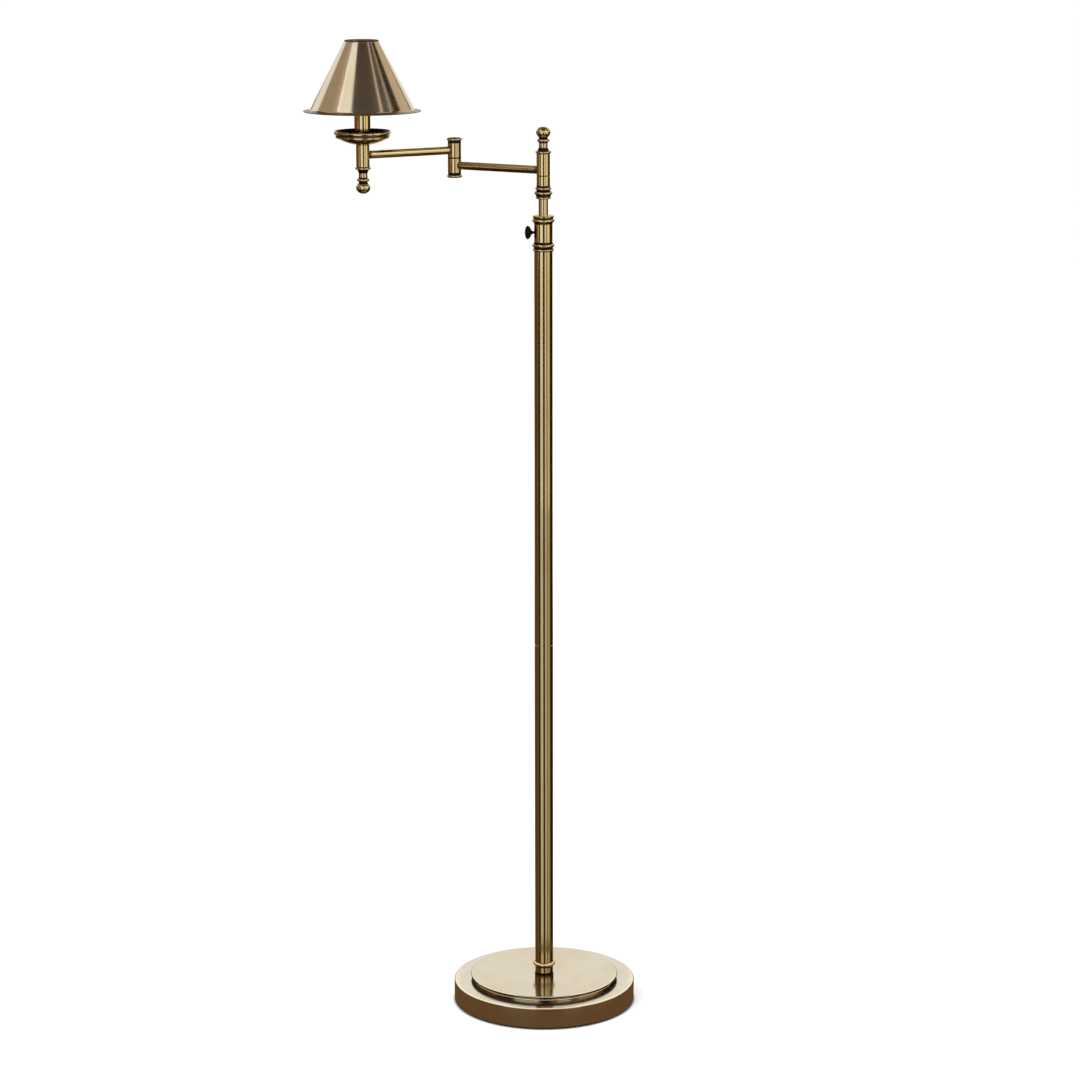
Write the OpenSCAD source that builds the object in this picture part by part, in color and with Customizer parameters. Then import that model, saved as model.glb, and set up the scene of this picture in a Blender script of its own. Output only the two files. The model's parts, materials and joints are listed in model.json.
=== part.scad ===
// Bridge floor lamp: weighted round foot, telescopic post and a jointed swing arm
// that carries a candle tube with a conical spun shade.
// Frame: origin on the floor under the post, +Z up, the arm reaches towards -X.
// All sizes are in millimetres.

/* [Foot] */
// Outer diameter of the foot
base_d = 300; // [240:1:360]
// Height of the foot's flat ring above the floor
rim_h = 37.5; // [30:0.5:60]
// Wall of the spun cover and of the raised plate
cover_t = 1.5; // [1:0.1:2]
// Rounding of the cover's top edge
rim_round = 2.6; // [1.8:0.1:4]
// Thickness of the felt pad
felt_t = 2; // [1:0.5:4]
// How far the felt stays in from the foot's edge
felt_inset = 7; // [3:1:20]
// Diameter of the raised plate
step_d = 244; // [160:1:244]
// Height of the raised plate above the flat ring
step_h = 9; // [6:0.5:14]
// Diameter of the bead at the raised plate's foot
step_bead_d = 236; // [226:1:241]
// Thickness of the ballast disc
weight_t = 18; // [15:1:22]
// Diameter of the ballast's raised hub
weight_hub_d = 90; // [50:1:140]
// Width of the lead channel under the ballast
channel_w = 9; // [8:0.5:12]
// Height of the lead channel under the ballast
channel_h = 12; // [11:0.5:14]

/* [Lead inlet] */
// Bore of the inlet bush
bush_bore = 7.2; // [5:0.1:8]
// Outer diameter of the inlet bush where it passes the wall
bush_d = 10.4; // [9.5:0.1:12]
// Diameter of the inlet bush's flange
bush_flange_d = 15; // [14:0.5:18]
// Thickness of the inlet bush's flange
bush_flange_t = 2; // [1:0.25:4]
// Length of the inlet bush inside the wall
bush_in = 4; // [3:0.5:6]

/* [Pole] */
// Outer diameter of the pole
pole_d = 30; // [26:0.5:34]
// Wall of the pole tubes
pole_wall = 1.2; // [1:0.1:1.6]
// Height of the pole foot below its bead
foot_neck_h = 12.6; // [8:0.1:20]
// Diameter of the pole foot's bead
foot_bead_d = 37; // [33:0.5:42]
// Height of the pole foot's bead
foot_bead_h = 6.6; // [4:0.1:8]
// Length of the lower pole tube
lower_len = 545; // [300:1:700]
// Length of the upper pole tube
upper_len = 646; // [500:1:800]
// Length of the spigots inside the tubes
spigot_len = 20; // [12:1:30]

/* [Height collar] */
// Height of the collar above the pole
collar_h = 57.2; // [54:0.1:80]
// Diameter of the collar's lowest ring
ring_low_d = 34.8; // [31:0.1:40]
// Diameter of the collar's second ring
ring_mid_d = 36.6; // [32:0.1:40]
// Diameter of the collar's upper ring
ring_top_d = 36.6; // [32:0.1:40]
// Diameter of the collar's flared lip
lip_d = 35.2; // [32:0.1:40]
// Wall of the plastic guide sleeve
liner_t = 2; // [1.5:0.1:2.4]

/* [Thumb screw] */
// Height of the thumb screw above the collar's foot
screw_rise = 30; // [24:0.5:36]
// Diameter of the screw
screw_d = 4.4; // [3:0.1:5]
// Diameter of the knob
knob_d = 21.8; // [14:0.1:26]
// Reach of the knob's face from the collar
knob_reach = 14.6; // [13:0.1:24]
// Height of the knob's domed face
knob_dome = 4.6; // [1:0.1:6]
// Travel of the screw when it is undone
screw_travel = 1.6; // [0.8:0.1:2]

/* [Stem] */
// Outer diameter of the stem
stem_d = 15.4; // [13:0.1:16]
// Wall of the stem
stem_wall = 1.3; // [1:0.1:1.6]
// Length of stem that shows above the collar
stem_show = 26.4; // [24:0.1:120]
// How far the stem can rise
stem_up = 200; // [100:5:300]
// Length of the bush at the stem's lower end
guide_len = 20; // [12:1:40]

/* [Arm] */
// Distance between the swivel axes along each arm
arm_len = 165; // [140:1:260]
// Swing of the inner arm away from the lamp's side
arm_yaw = 30; // [0:1:45]
// Outer diameter of the arm tubes
arm_d = 13; // [10:0.5:14]
// Wall of the arm tubes
arm_wall = 1.2; // [0.8:0.1:1.6]
// Diameter of the swivel barrels
barrel_d = 21.8; // [19.5:0.1:24]
// Height of each elbow barrel
elbow_h = 24.4; // [22:0.1:34]
// Height of the post swivel's upper barrel
post_barrel_h = 35.2; // [28:0.1:44]
// Height of the inner arm above the post swivel's split
arm_rise = 9.2; // [9:0.1:16]
// Diameter of the threaded nipples and spindles
thread_d = 10; // [9:0.5:10.5]
// Bore of the nipples and spindles
thread_bore = 6; // [4:0.5:6.5]
// Thickness of the friction washers
washer_t = 0.5; // [0.3:0.1:1]

/* [Turned ends] */
// Diameter of the finials' flange
finial_flange_d = 25.6; // [23:0.1:28]
// Diameter of the finials' ball
ball_d = 23.2; // [18:0.1:26]
// Height of the finials' slightly flattened ball
ball_h = 19; // [14:0.1:26]
// Diameter of the finials' bead
finial_bead_d = 20.6; // [18:0.1:23]
// Diameter of the elbow caps
cap_d = 25.2; // [23:0.1:28]

/* [Lamp head] */
// Head barrel above the outer arm's axis
head_above = 16.5; // [12:0.5:24]
// Head barrel below the outer arm's axis
head_below = 19.1; // [12:0.1:24]
// Diameter of the drip pan over its rolled rim
pan_d = 91.4; // [76:0.1:110]
// Height of the pan's rim centre above the pan's seat
pan_rise = 18.8; // [16:0.2:28]
// Height of the pan's upright wall below the rim's centre
pan_wall = 7.8; // [2:0.1:10]
// Thickness of the pan
pan_t = 1.2; // [0.8:0.1:1.6]
// Diameter of the rolled rim
pan_bead = 6.8; // [4:0.1:8]
// Diameter of the candle tube
candle_d = 26; // [24:0.1:28]
// Wall of the candle tube
candle_wall = 0.9; // [0.6:0.1:1]
// Length of the candle tube
candle_len = 79; // [72:1:110]

/* [Bulb] */
// Largest diameter of the candle bulb
bulb_d = 35; // [32:0.5:37]
// Length of the bulb's glass
bulb_len = 74; // [68:1:76]

/* [Shade] */
// Outer diameter of the shade's top
shade_top_d = 53.6; // [50:0.5:70]
// Outer diameter of the shade's cone at the bottom
shade_low_d = 166.6; // [130:1:200]
// Outer diameter of the flared lip
shade_lip_d = 186.6; // [180:1:224]
// Height of the shade's cone
shade_h = 108.7; // [100:0.1:112]
// Drop of the flared lip
shade_lip_drop = 2; // [1:0.1:8]
// Height of the cone's lower edge above the pan's seat
shade_rise = 55.2; // [53:0.1:58]
// Thickness of the shade
shade_t = 0.8; // [0.6:0.1:1.2]
// Diameter of the clip's wire
wire_d = 1.8; // [1.4:0.1:2.4]

/* [Fits] */
// Radial clearance of pieces that turn or slide in each other
run_gap = 0.05; // [0.03:0.01:0.1]
// Radial clearance of pieces that are only assembled
slip_gap = 0.1; // [0.05:0.05:0.2]
// Gap between faces that turn past each other
face_gap = 0.05; // [0.03:0.01:0.1]
// Clearance of the shade's clip around the bulb
clip_gap = 0.3; // [0.2:0.1:0.6]

/* [Hidden] */
$fn = 96;

brass = "#a98a58";
bright_brass = "#cdbb86";
dark_brass = "#6f5636";
iron = "#3c3c3e";
steel = "#9c9ca0";
black = "#1d1d1f";
ivory = "#e8e2d0";

// Small construction sizes
edge = 0.5;              // broken edge of the turned pieces
seam_edge = 0.4;         // chamfer at the pole's seam
boss_gap = 0.2;          // room around bolts and nuts
bush_stand = 0.25;       // inlet flange clear of the curved wall
nut_af = 17;             // across the flats of the clamp nut
nut_t = 5;
clamp_washer_d = 28;
clamp_washer_t = 1.5;
recess_d = 34;           // recess for the nut under the ballast
recess_h = 9;
spacer_d = 60;           // spacer under the raised plate

// Heights of the foot and the pole
z_weight = felt_t;
z_flange = rim_h - cover_t;              // underside of the cover's flat ring
z_step = rim_h + step_h;                 // top of the raised plate
z_recess = z_weight + recess_h;          // face that the clamp washer bears on
z_bush = z_weight + channel_h / 2;       // axis of the lead inlet
z_bead = z_step + foot_neck_h;
z_tube = z_bead + foot_bead_h;           // seat of the lower tube
z_seam = z_tube + lower_len;
z_collar = z_seam + upper_len;           // top of the pole
z_lip = z_collar + collar_h;             // top of the collar
z_screw = z_collar + screw_rise;
pole_in = pole_d / 2 - pole_wall;        // inner radius of the pole

// Stem and post swivel
z_knuckle = z_lip + stem_show;
knuckle_h = 36.3;
z_split = z_knuckle + knuckle_h;         // split line of the post swivel
split_gap = washer_t + 2 * face_gap;
z_inner = z_split + arm_rise;            // axis of the inner arm
z_post_top = z_split + split_gap + post_barrel_h;
liner_low = z_collar - spigot_len;
stop_gap = 6;                            // guide bush below the liner at full height
z_guide = liner_low - stop_gap - stem_up - guide_len;
stem_seat = 10;                          // depth of the stem's socket in the knuckle
pad_r = screw_d / 2 + 0.9;               // radius of the clamp pad
pad_t = 1.6;                             // thickness of the clamp pad
pad_room = 0.4;                          // bore behind the undone pad
pad_face = stem_d / 2 + run_gap;         // pad's inner face, at the stem
pad_back = pad_face + pad_t;

// Elbow and head
z_outer = z_inner + elbow_h;             // axis of the outer arm
z_elbow_split = z_inner + elbow_h / 2;
z_pan = z_outer + head_above;            // seat of the drip pan
z_candle = z_pan + pan_t;                // foot of the candle tube
z_candle_top = z_candle + candle_len;
holder_recess = 2;                       // holder's top below the candle tube's top
z_holder = z_candle_top - holder_recess;
elbow = [-arm_len * cos(arm_yaw), arm_len * sin(arm_yaw)];
head = [2 * elbow[0], 0];
tube_start = thread_d / 2 + 1;           // arm tubes stop short of the spindle
seat_r = candle_d / 2 + 1.2;             // flat seat of the pan under the candle tube
finial_depth = 13.5;                     // thread engagement of the finials

// Lampholder and bulb
holder_d = candle_d - 2 * candle_wall - 0.8;
holder_len = 62;
shell_r = 7.1;                           // inner radius of the holder's threaded shell
shell_len = 24;
cap_r = 6.8;                             // radius of the bulb's screw cap
cap_len = 19;
z_bulb_wide = z_holder + 30;             // height of the bulb's widest part

// Shade
z_cone = z_pan + shade_rise;
z_shade_top = z_cone + shade_h;
shade_turn_in = 2.2;                     // width of the turned-in top edge
wire_r = wire_d / 2;
clip_low_r = bulb_d / 2 + clip_gap + wire_r;
clip_top_r = shade_top_d / 2 - shade_turn_in + wire_r * 0.4;
z_clip_top = z_shade_top - shade_t - wire_r;

// Points of an arc in a profile, from angle a0 to a1
function arc(cx, cz, r, a0, a1, n = 8) =
    [for (i = [0:n]) let (a = a0 + (a1 - a0) * i / n) [cx + r * cos(a), cz + r * sin(a)]];

// Points of a part of an oval in a profile, from angle a0 to a1
function oval(cx, cz, rx, rz, a0, a1, n = 8) =
    [for (i = [0:n]) let (a = a0 + (a1 - a0) * i / n) [cx + rx * cos(a), cz + rz * sin(a)]];

// Turns a profile of [radius, height] points about the Z axis
module turned(points, fn = 96) {
    rotate_extrude($fn = fn) polygon(points);
}

// Tube or ring between two heights
module pipe(r_out, r_in, z0, z1) {
    translate([0, 0, z0]) difference() {
        cylinder(r = r_out, h = z1 - z0);
        translate([0, 0, -1]) cylinder(r = r_in, h = z1 - z0 + 2);
    }
}

// Profile of a bead: half-round nose from z0 to z1 out to radius r
function bead(r, z0, z1, n = 6) =
    let (h = (z1 - z0) / 2) arc(r - h, z0 + h, h, -90, 90, n);

// ---- Foot ----

module felt_pad() {
    color("#2b2a28") cylinder(r = base_d / 2 - felt_inset, h = felt_t);
}

module base_weight() {
    r = base_d / 2 - cover_t - 1;
    color(iron) difference() {
        turned([[0, z_weight], [r - edge, z_weight], [r, z_weight + edge],
            [r, z_weight + weight_t - 3], [r - 3, z_weight + weight_t],
            [weight_hub_d / 2 + 4, z_weight + weight_t],
            [weight_hub_d / 2, z_weight + weight_t + 4],
            [weight_hub_d / 2, z_flange], [0, z_flange]]);
        translate([0, 0, -1]) cylinder(r = thread_d / 2 + boss_gap, h = rim_h);
        translate([0, 0, z_weight - 1]) cylinder(d = recess_d, h = recess_h + 1);
        translate([-channel_w / 2, 0, z_weight - 1]) cube([channel_w, base_d, channel_h + 1]);
        // room for the inner end of the inlet bush
        translate([0, base_d / 2 - 8, z_bush]) rotate([-90, 0, 0]) cylinder(d = bush_d + 1, h = 20);
    }
}

module base_cover() {
    r = base_d / 2;
    ri = r - cover_t;
    rr = rim_round;
    color(dark_brass) difference() {
        turned(concat([[ri, felt_t], [r - edge, felt_t], [r, felt_t + edge]],
            arc(r - rr, rim_h - rr, rr, 0, 90, 6),
            [[thread_d / 2 + boss_gap, rim_h], [thread_d / 2 + boss_gap, z_flange],
                [ri - 1.2, z_flange], [ri, z_flange - 1.2]]));
        translate([0, r - 10, z_bush]) rotate([-90, 0, 0]) cylinder(d = bush_d + 2 * slip_gap, h = 20);
    }
}

// Raised plate: rounded edge over an undercut cove and a foot bead, hollow underneath
module step_plate() {
    r = step_d / 2;
    shoulder = 1.8;
    nose = 3;                                // height of the plate's edge
    bead_h = 2.6;
    waist = min(step_bead_d / 2 - bead_h / 2, r - 2);
    t = cover_t;
    color(bright_brass) turned(concat(
        [[thread_d / 2 + boss_gap, z_step], [thread_d / 2 + boss_gap, z_step - t],
            [waist - t - 1, z_step - t], [waist - t, z_step - t - 1], [waist - t, rim_h],
            [step_bead_d / 2 - bead_h / 2, rim_h]],
        arc(step_bead_d / 2 - bead_h / 2, rim_h + bead_h / 2, bead_h / 2, -60, 90, 5),
        oval(r - 0.6, rim_h + bead_h + 0.1, r - 0.6 - waist, step_h - nose - bead_h - 0.2, 180, 90, 5),
        [[r, z_step - nose + 0.5]],
        arc(r - shoulder, z_step - shoulder, shoulder, 0, 90, 5)));
}

// Ring between cover and plate that takes the pull of the tie nipple
module step_spacer() {
    color(steel) pipe(spacer_d / 2, thread_d / 2 + boss_gap, rim_h, z_step - cover_t);
}

// Bush in the cover's wall, flanged on the outside
module cord_bush() {
    inner_end = -cover_t - bush_in;
    rf = bush_flange_d / 2;
    color(black) translate([0, base_d / 2, z_bush]) rotate([-90, 0, 0]) difference() {
        turned([[0, inner_end], [bush_d / 2, inner_end], [bush_d / 2, bush_stand], [rf, bush_stand],
            [rf, bush_flange_t - edge], [rf - edge, bush_flange_t], [0, bush_flange_t]]);
        translate([0, 0, inner_end - 1]) cylinder(d = bush_bore, h = bush_flange_t - inner_end + 2);
    }
}

module clamp_washer() {
    color(steel) pipe(clamp_washer_d / 2, thread_d / 2 + boss_gap, z_recess - clamp_washer_t, z_recess);
}

module clamp_nut() {
    color(steel) translate([0, 0, z_recess - clamp_washer_t - nut_t]) difference() {
        cylinder(r = nut_af / sqrt(3), h = nut_t, $fn = 6);
        translate([0, 0, -1]) cylinder(r = thread_d / 2 + slip_gap, h = nut_t + 2);
    }
}

module tie_nipple() {
    color(steel) pipe(thread_d / 2, thread_bore / 2, z_recess - clamp_washer_t - nut_t - 1, z_tube - 1);
}

// ---- Pole ----

// Turned foot: plain neck, bead and the spigot that enters the lower tube
module pole_foot() {
    r = pole_d / 2;
    sp = pole_in - slip_gap;
    color(brass) turned(concat(
        [[thread_d / 2 + slip_gap, z_step], [r, z_step], [r, z_bead]],
        bead(foot_bead_d / 2, z_bead, z_tube),
        [[sp, z_tube], [sp, z_tube + spigot_len - 1], [sp - 1, z_tube + spigot_len],
            [thread_bore, z_tube + spigot_len], [thread_bore, z_tube],
            [thread_d / 2 + slip_gap, z_tube]]));
}

module tube_between(z0, z1, low_edge, high_edge) {
    r = pole_d / 2;
    turned([[pole_in, z0], [r - low_edge, z0], [r, z0 + low_edge],
        [r, z1 - high_edge], [r - high_edge, z1], [pole_in, z1]]);
}

module lower_tube() {
    color(brass) tube_between(z_tube, z_seam, 0, seam_edge);
}

module upper_tube() {
    color(brass) tube_between(z_seam, z_collar, seam_edge, 0);
}

module tube_coupling() {
    color(steel) pipe(pole_in - slip_gap, pole_in - slip_gap - 1.6, z_seam - 1.5 * spigot_len,
        z_seam + 1.5 * spigot_len);
}

// ---- Height collar ----

// Collar: two foot rings, plain body, upper ring, cove and flared lip
module height_collar() {
    r = pole_d / 2;
    top = collar_h;
    liner_out = stem_d / 2 + run_gap + liner_t;
    color(brass) difference() {
        translate([0, 0, z_collar]) turned(concat(
            [[pole_in - slip_gap, -spigot_len], [pole_in - slip_gap, 0]],
            bead(ring_low_d / 2, 0.4, 4.4),
            [[r + 0.6, 4.6], [r + 0.6, 7]],
            bead(ring_mid_d / 2, 7.2, 12.2),
            [[r, 12.4], [r, top - 11.6], [r + 0.3, top - 11]],
            bead(ring_top_d / 2, top - 10.8, top - 5),
            [[r + 0.9, top - 4.8], [r + 0.9, top - 4]],
            arc(lip_d / 2 + 1.4, top - 3.6, 2.4, 175, 125, 4),
            [[lip_d / 2, top - 1.2], [lip_d / 2, top - 0.6], [lip_d / 2 - 0.6, top],
                [lip_d / 2 - 1.8, top],
                [stem_d / 2 + 3.4, top - 1.6], [liner_out + slip_gap, top - 1.6],
                [liner_out + slip_gap, -spigot_len]]));
        translate([0, 0, z_screw]) rotate([0, -90, 0]) {
            cylinder(r = screw_d / 2 + run_gap, h = pole_d);
            cylinder(r = pad_r + run_gap, h = pad_back + screw_travel + pad_room);
        }
    }
}

module collar_liner() {
    r = stem_d / 2 + run_gap;
    color(ivory) difference() {
        pipe(r + liner_t, r, liner_low + 1, z_lip - 1.7);
        translate([0, 0, z_screw]) rotate([0, -90, 0]) cylinder(r = pad_r + run_gap, h = pole_d);
    }
}

// Slug that the screw presses against the stem
module clamp_pad() {
    color(bright_brass) translate([0, 0, z_screw]) rotate([0, -90, 0])
        translate([0, 0, pad_face]) cylinder(r = pad_r, h = pad_t);
}

// Knob with a domed face and a trumpet-shaped back on its plain screw
module thumb_screw() {
    face = pole_d / 2 + knob_reach;
    rk = knob_d / 2;
    rim = face - knob_dome;                  // widest place
    color(dark_brass) translate([0, 0, z_screw]) rotate([0, -90, 0]) turned(concat(
        [[0, pad_back + face_gap], [screw_d / 2, pad_back + face_gap]],
        arc(screw_d / 2 + 3, pole_d / 2 + 1.2, 3, 180, 115, 4),
        [[rk * 0.72, rim - 4.2], [rk * 0.88, rim - 2.6], [rk - 0.1, rim - 0.7]],
        oval(0, rim, rk, knob_dome, 0, 90, 8)), 64);
}

// ---- Stem and post swivel ----

module stem_tube() {
    color(brass) pipe(stem_d / 2, stem_d / 2 - stem_wall, z_guide - 3, z_knuckle + stem_seat);
}

// Bush that guides the stem's lower end in the pole, held by its lower flange
module guide_bush() {
    color(ivory) translate([0, 0, z_guide]) turned([[stem_d / 2 + slip_gap, 0],
        [pole_in - run_gap - 1, 0], [pole_in - run_gap, 1],
        [pole_in - run_gap, guide_len - 1], [pole_in - run_gap - 1, guide_len],
        [stem_d / 2 + slip_gap, guide_len]]);
}

// Lower half of the post swivel: drum, wide ring, groove, bead and barrel
module lower_knuckle() {
    r = barrel_d / 2;
    rs = stem_d / 2 + slip_gap;
    rt = thread_d / 2 + slip_gap;
    color(brass) translate([0, 0, z_knuckle]) turned(concat(
        [[rs, 0], [r, 0]], bead(r + 1.5, 0.3, 3.1),
        [[r + 0.9, 3.4], [r + 1.1, 5.6], [r + 1.6, 6.6]],
        bead(r + 3.9, 7, 11.6), [[r + 1.2, 12], [r - 0.1, 12.6], [r - 0.1, 13.8]],
        bead(r + 2.2, 14.2, 18.6), [[r, 19], [r, knuckle_h - 0.3], [r - 0.3, knuckle_h],
            [rt, knuckle_h], [rt, stem_seat + 0.5], [rs, stem_seat + 0.5]]));
}

module post_spindle() {
    color(steel) pipe(thread_d / 2, thread_bore / 2, z_knuckle + stem_seat + 1,
        z_post_top + face_gap + finial_depth);
}

// A friction washer lying on a face at height z
module washer(z) {
    pipe(barrel_d / 2 - 0.7, thread_d / 2 + slip_gap, z, z + washer_t);
}

module post_washers() {
    color(black) washer(z_split);
}

// A barrel turned about the vertical, bored for the spindle, with a socket for each arm
module barrel(z0, z1, bore_r, z_arm, directions) {
    r = barrel_d / 2;
    difference() {
        turned([[bore_r, z0], [r - 0.3, z0], [r, z0 + 0.3], [r, z1 - 0.3], [r - 0.3, z1],
            [bore_r, z1]]);
        for (a = directions)
            translate([0, 0, z_arm]) rotate([0, 90, a]) cylinder(r = arm_d / 2 + slip_gap, h = r + 5);
    }
}

module post_hub() {
    color(brass) barrel(z_split + split_gap, z_post_top, thread_d / 2 + run_gap, z_inner,
        [180 - arm_yaw]);
}

// Finial standing on z = 0: flange, neck, bead, groove and a slightly flattened ball
module finial() {
    rf = finial_flange_d / 2;
    rb = ball_d / 2;
    rt = thread_d / 2 + slip_gap;
    neck = thread_d / 2 + 2.1;
    foot = asin(neck / rb);                  // half angle of the ball's foot
    ball_z = 25.4 + ball_h / 2 * cos(foot);  // ball's centre, its foot 25.4 above the flange
    turned(concat([[rt, 0], [barrel_d / 2 + 0.2, 0], [rf - 0.6, 0.6], [rf, 1.4], [rf, 2.9],
            [rf - 0.5, 3.4]],
        arc(rf - 0.9, 7, 3.6, 262, 190, 5), [[neck + 0.3, 8.6], [neck, 11], [neck, 17.2],
            [neck + 0.8, 17.8]],
        bead(finial_bead_d / 2, 18, 22.6, 6), [[neck, 23]],
        oval(0, ball_z, rb, ball_h / 2, -90 + foot, 90, 18),
        [[0, finial_depth + 1.4], [rt, finial_depth + 0.4]]));
}

module post_finial() {
    color(bright_brass) translate([0, 0, z_post_top + face_gap]) finial();
}

// ---- Inner arm and elbow ----

// Arm tube from one swivel axis to the next, seated in both barrels
module arm_tube(from, angle, z) {
    color(brass) translate([from[0], from[1], z]) rotate([0, 90, angle])
        pipe(arm_d / 2, arm_d / 2 - arm_wall, tube_start, arm_len - tube_start);
}

module inner_arm_tube() {
    arm_tube([0, 0], 180 - arm_yaw, z_inner);
}

module at_elbow() {
    translate([elbow[0], elbow[1], 0]) children();
}

module elbow_lower_hub() {
    color(brass) at_elbow() barrel(z_inner - elbow_h / 2, z_elbow_split - split_gap / 2,
        thread_d / 2 + slip_gap, z_inner, [-arm_yaw]);
}

module elbow_upper_hub() {
    color(brass) at_elbow() barrel(z_elbow_split + split_gap / 2, z_outer + elbow_h / 2,
        thread_d / 2 + run_gap, z_outer, [180 + arm_yaw]);
}

module elbow_pivot() {
    color(steel) at_elbow() pipe(thread_d / 2, thread_bore / 2, z_inner - elbow_h / 2 - 5,
        z_outer + elbow_h / 2 + face_gap + 5);
}

module elbow_washers() {
    color(black) at_elbow() washer(z_elbow_split - split_gap / 2);
}

// Cap standing on z = 0: cove, rounded flange and a slightly domed top of height dome
module cap(dome) {
    rc = cap_d / 2;
    rt = thread_d / 2 + slip_gap;
    turned(concat([[rt, 0], [barrel_d / 2, 0], [barrel_d / 2 - 0.5, 0.5], [barrel_d / 2 - 0.5, 1.8],
        [rc - 1.8, 2.6]],
        bead(rc, 3, 7.2, 6), [[rc - 3, 7.3 + dome * 0.5], [rc - 6, 7.3 + dome], [0, 7.3 + dome],
            [0, 5.4], [rt, 5.4]]));
}

module elbow_bottom_cap() {
    color(bright_brass) at_elbow() translate([0, 0, z_inner - elbow_h / 2]) mirror([0, 0, 1]) cap(0.6);
}

module elbow_top_cap() {
    color(bright_brass) at_elbow() translate([0, 0, z_outer + elbow_h / 2 + face_gap]) cap(0.3);
}

// ---- Outer arm and head ----

module outer_arm_tube() {
    arm_tube(elbow, 180 + arm_yaw, z_outer);
}

module at_head() {
    translate([head[0], head[1], 0]) children();
}

module head_hub() {
    color(brass) at_head() barrel(z_outer - head_below, z_pan, thread_d / 2 + slip_gap, z_outer,
        [arm_yaw]);
}

module head_finial() {
    color(bright_brass) at_head() translate([0, 0, z_outer - head_below]) mirror([0, 0, 1]) finial();
}

module head_nipple() {
    color(steel) at_head() pipe(thread_d / 2, thread_bore / 2, z_outer - head_below - finial_depth,
        z_holder - holder_len + 10);
}

// Spun pan: flat seat, round bowl, short upright wall and a rolled rim
module drip_pan() {
    rim_r = pan_d / 2 - pan_bead / 2;
    wall_r = rim_r + pan_t / 2;
    deep = pan_rise - pan_wall;
    // centre and radius of the arc from the seat's edge to the upright wall's foot
    cz = (pow(deep, 2) + pow(wall_r, 2) - pow(seat_r, 2)) / (2 * deep);
    r = norm([seat_r, cz]);
    ri = r - pan_t;
    inner_cz = pan_t + sqrt(pow(ri, 2) - pow(seat_r, 2));
    color(brass) at_head() translate([0, 0, z_pan]) {
        turned(concat([[thread_d / 2 + slip_gap, 0]],
            arc(0, cz, r, -acos(seat_r / r), -acos(wall_r / r)),
            [[wall_r, pan_rise], [wall_r - pan_t, pan_rise]],
            arc(0, inner_cz, ri, -acos((wall_r - pan_t) / ri), -acos(seat_r / ri)),
            [[thread_d / 2 + slip_gap, pan_t]]));
        translate([0, 0, pan_rise]) rotate_extrude() translate([rim_r, 0]) circle(d = pan_bead, $fn = 32);
    }
}

module candle_tube() {
    color(brass) at_head() pipe(candle_d / 2, candle_d / 2 - candle_wall, z_candle, z_candle_top);
}

// Moulded holder body: threaded foot, long stalk and a cup for the threaded shell
module lampholder() {
    r = holder_d / 2;
    z0 = z_holder - holder_len;
    color(black) at_head() difference() {
        turned([[0, z0], [r - 2, z0], [r - 2, z0 + 16], [r, z0 + 18], [r, z_holder - 0.6],
            [r - 0.6, z_holder], [0, z_holder]]);
        translate([0, 0, z0 - 1]) cylinder(r = thread_d / 2 + slip_gap, h = 12);
        translate([0, 0, z_holder - shell_len]) cylinder(r = shell_r + 0.6 + slip_gap, h = shell_len + 1);
    }
}

module holder_shell() {
    color(steel) at_head() pipe(shell_r + 0.6, shell_r, z_holder - shell_len, z_holder - 1.2);
}

// Centre contact: bent tongue on the holder's floor
module holder_contact() {
    z0 = z_holder - shell_len;
    top = z_holder - cap_len - 2 - z0;
    color(bright_brass) at_head() translate([-2, 0, z0]) rotate([90, 0, 0])
        linear_extrude(height = 3.6, center = true)
            polygon([[-2, 0], [1.5, 0], [1.5, 0.5], [0.9, 0.5], [3.4, top], [0.6, top],
                [-0.7, top - 0.6], [-2, 0.5]]);
}

// ---- Bulb ----

module bulb_cap() {
    z0 = z_holder - cap_len;
    color(steel) at_head() {
        pipe_top = z_holder - 0.4;
        turned([[0, z0], [4.4, z0], [cap_r - 0.9, z0 + 2.4], [cap_r, z0 + 3.4], [cap_r, pipe_top],
            [0, pipe_top]]);
        translate([0, 0, z0 - 1.95]) cylinder(r = 2.4, h = 1.96);
    }
}

// Outline of the bulb: swelling neck, then a drawn-out tip
function bulb_r(h, r) = h < 30 ?
    cap_r + (r - cap_r) * (1 - cos(180 * h / 30)) / 2 :
    r * pow(max(0, cos(90 * (h - 30) / (bulb_len - 30))), 0.8);

module bulb_glass() {
    wall = 0.9;
    n = 18;
    color([0.95, 0.95, 0.92]) at_head() translate([0, 0, z_holder]) turned(concat(
        [for (i = [0:n]) let (h = bulb_len * i / n) [bulb_r(h, bulb_d / 2), h]],
        [for (i = [n - 1:-1:0]) let (h = (bulb_len - wall) * i / n)
            [max(0, bulb_r(h * bulb_len / (bulb_len - wall), bulb_d / 2) - wall), h]]), 64);
}

// ---- Shade ----

// Spun cone with a turned-in top edge and a flared lip
module shade() {
    rt = shade_top_d / 2;
    rl = shade_low_d / 2;
    rf = shade_lip_d / 2;
    t = shade_t;
    color(brass) at_head() translate([0, 0, z_cone]) turned([[rt - shade_turn_in, shade_h],
        [rt, shade_h], [rl, 0], [rf, -shade_lip_drop], [rf, -shade_lip_drop - t], [rl, -t],
        [rl - t * 1.1, 0], [rt - t * 1.1, shade_h - t], [rt - shade_turn_in, shade_h - t]], 128);
}

// Ring of wire about the bulb's axis
module wire_ring(r, z) {
    translate([0, 0, z]) rotate_extrude() translate([r, 0]) circle(r = wire_r, $fn = 24);
}

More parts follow.
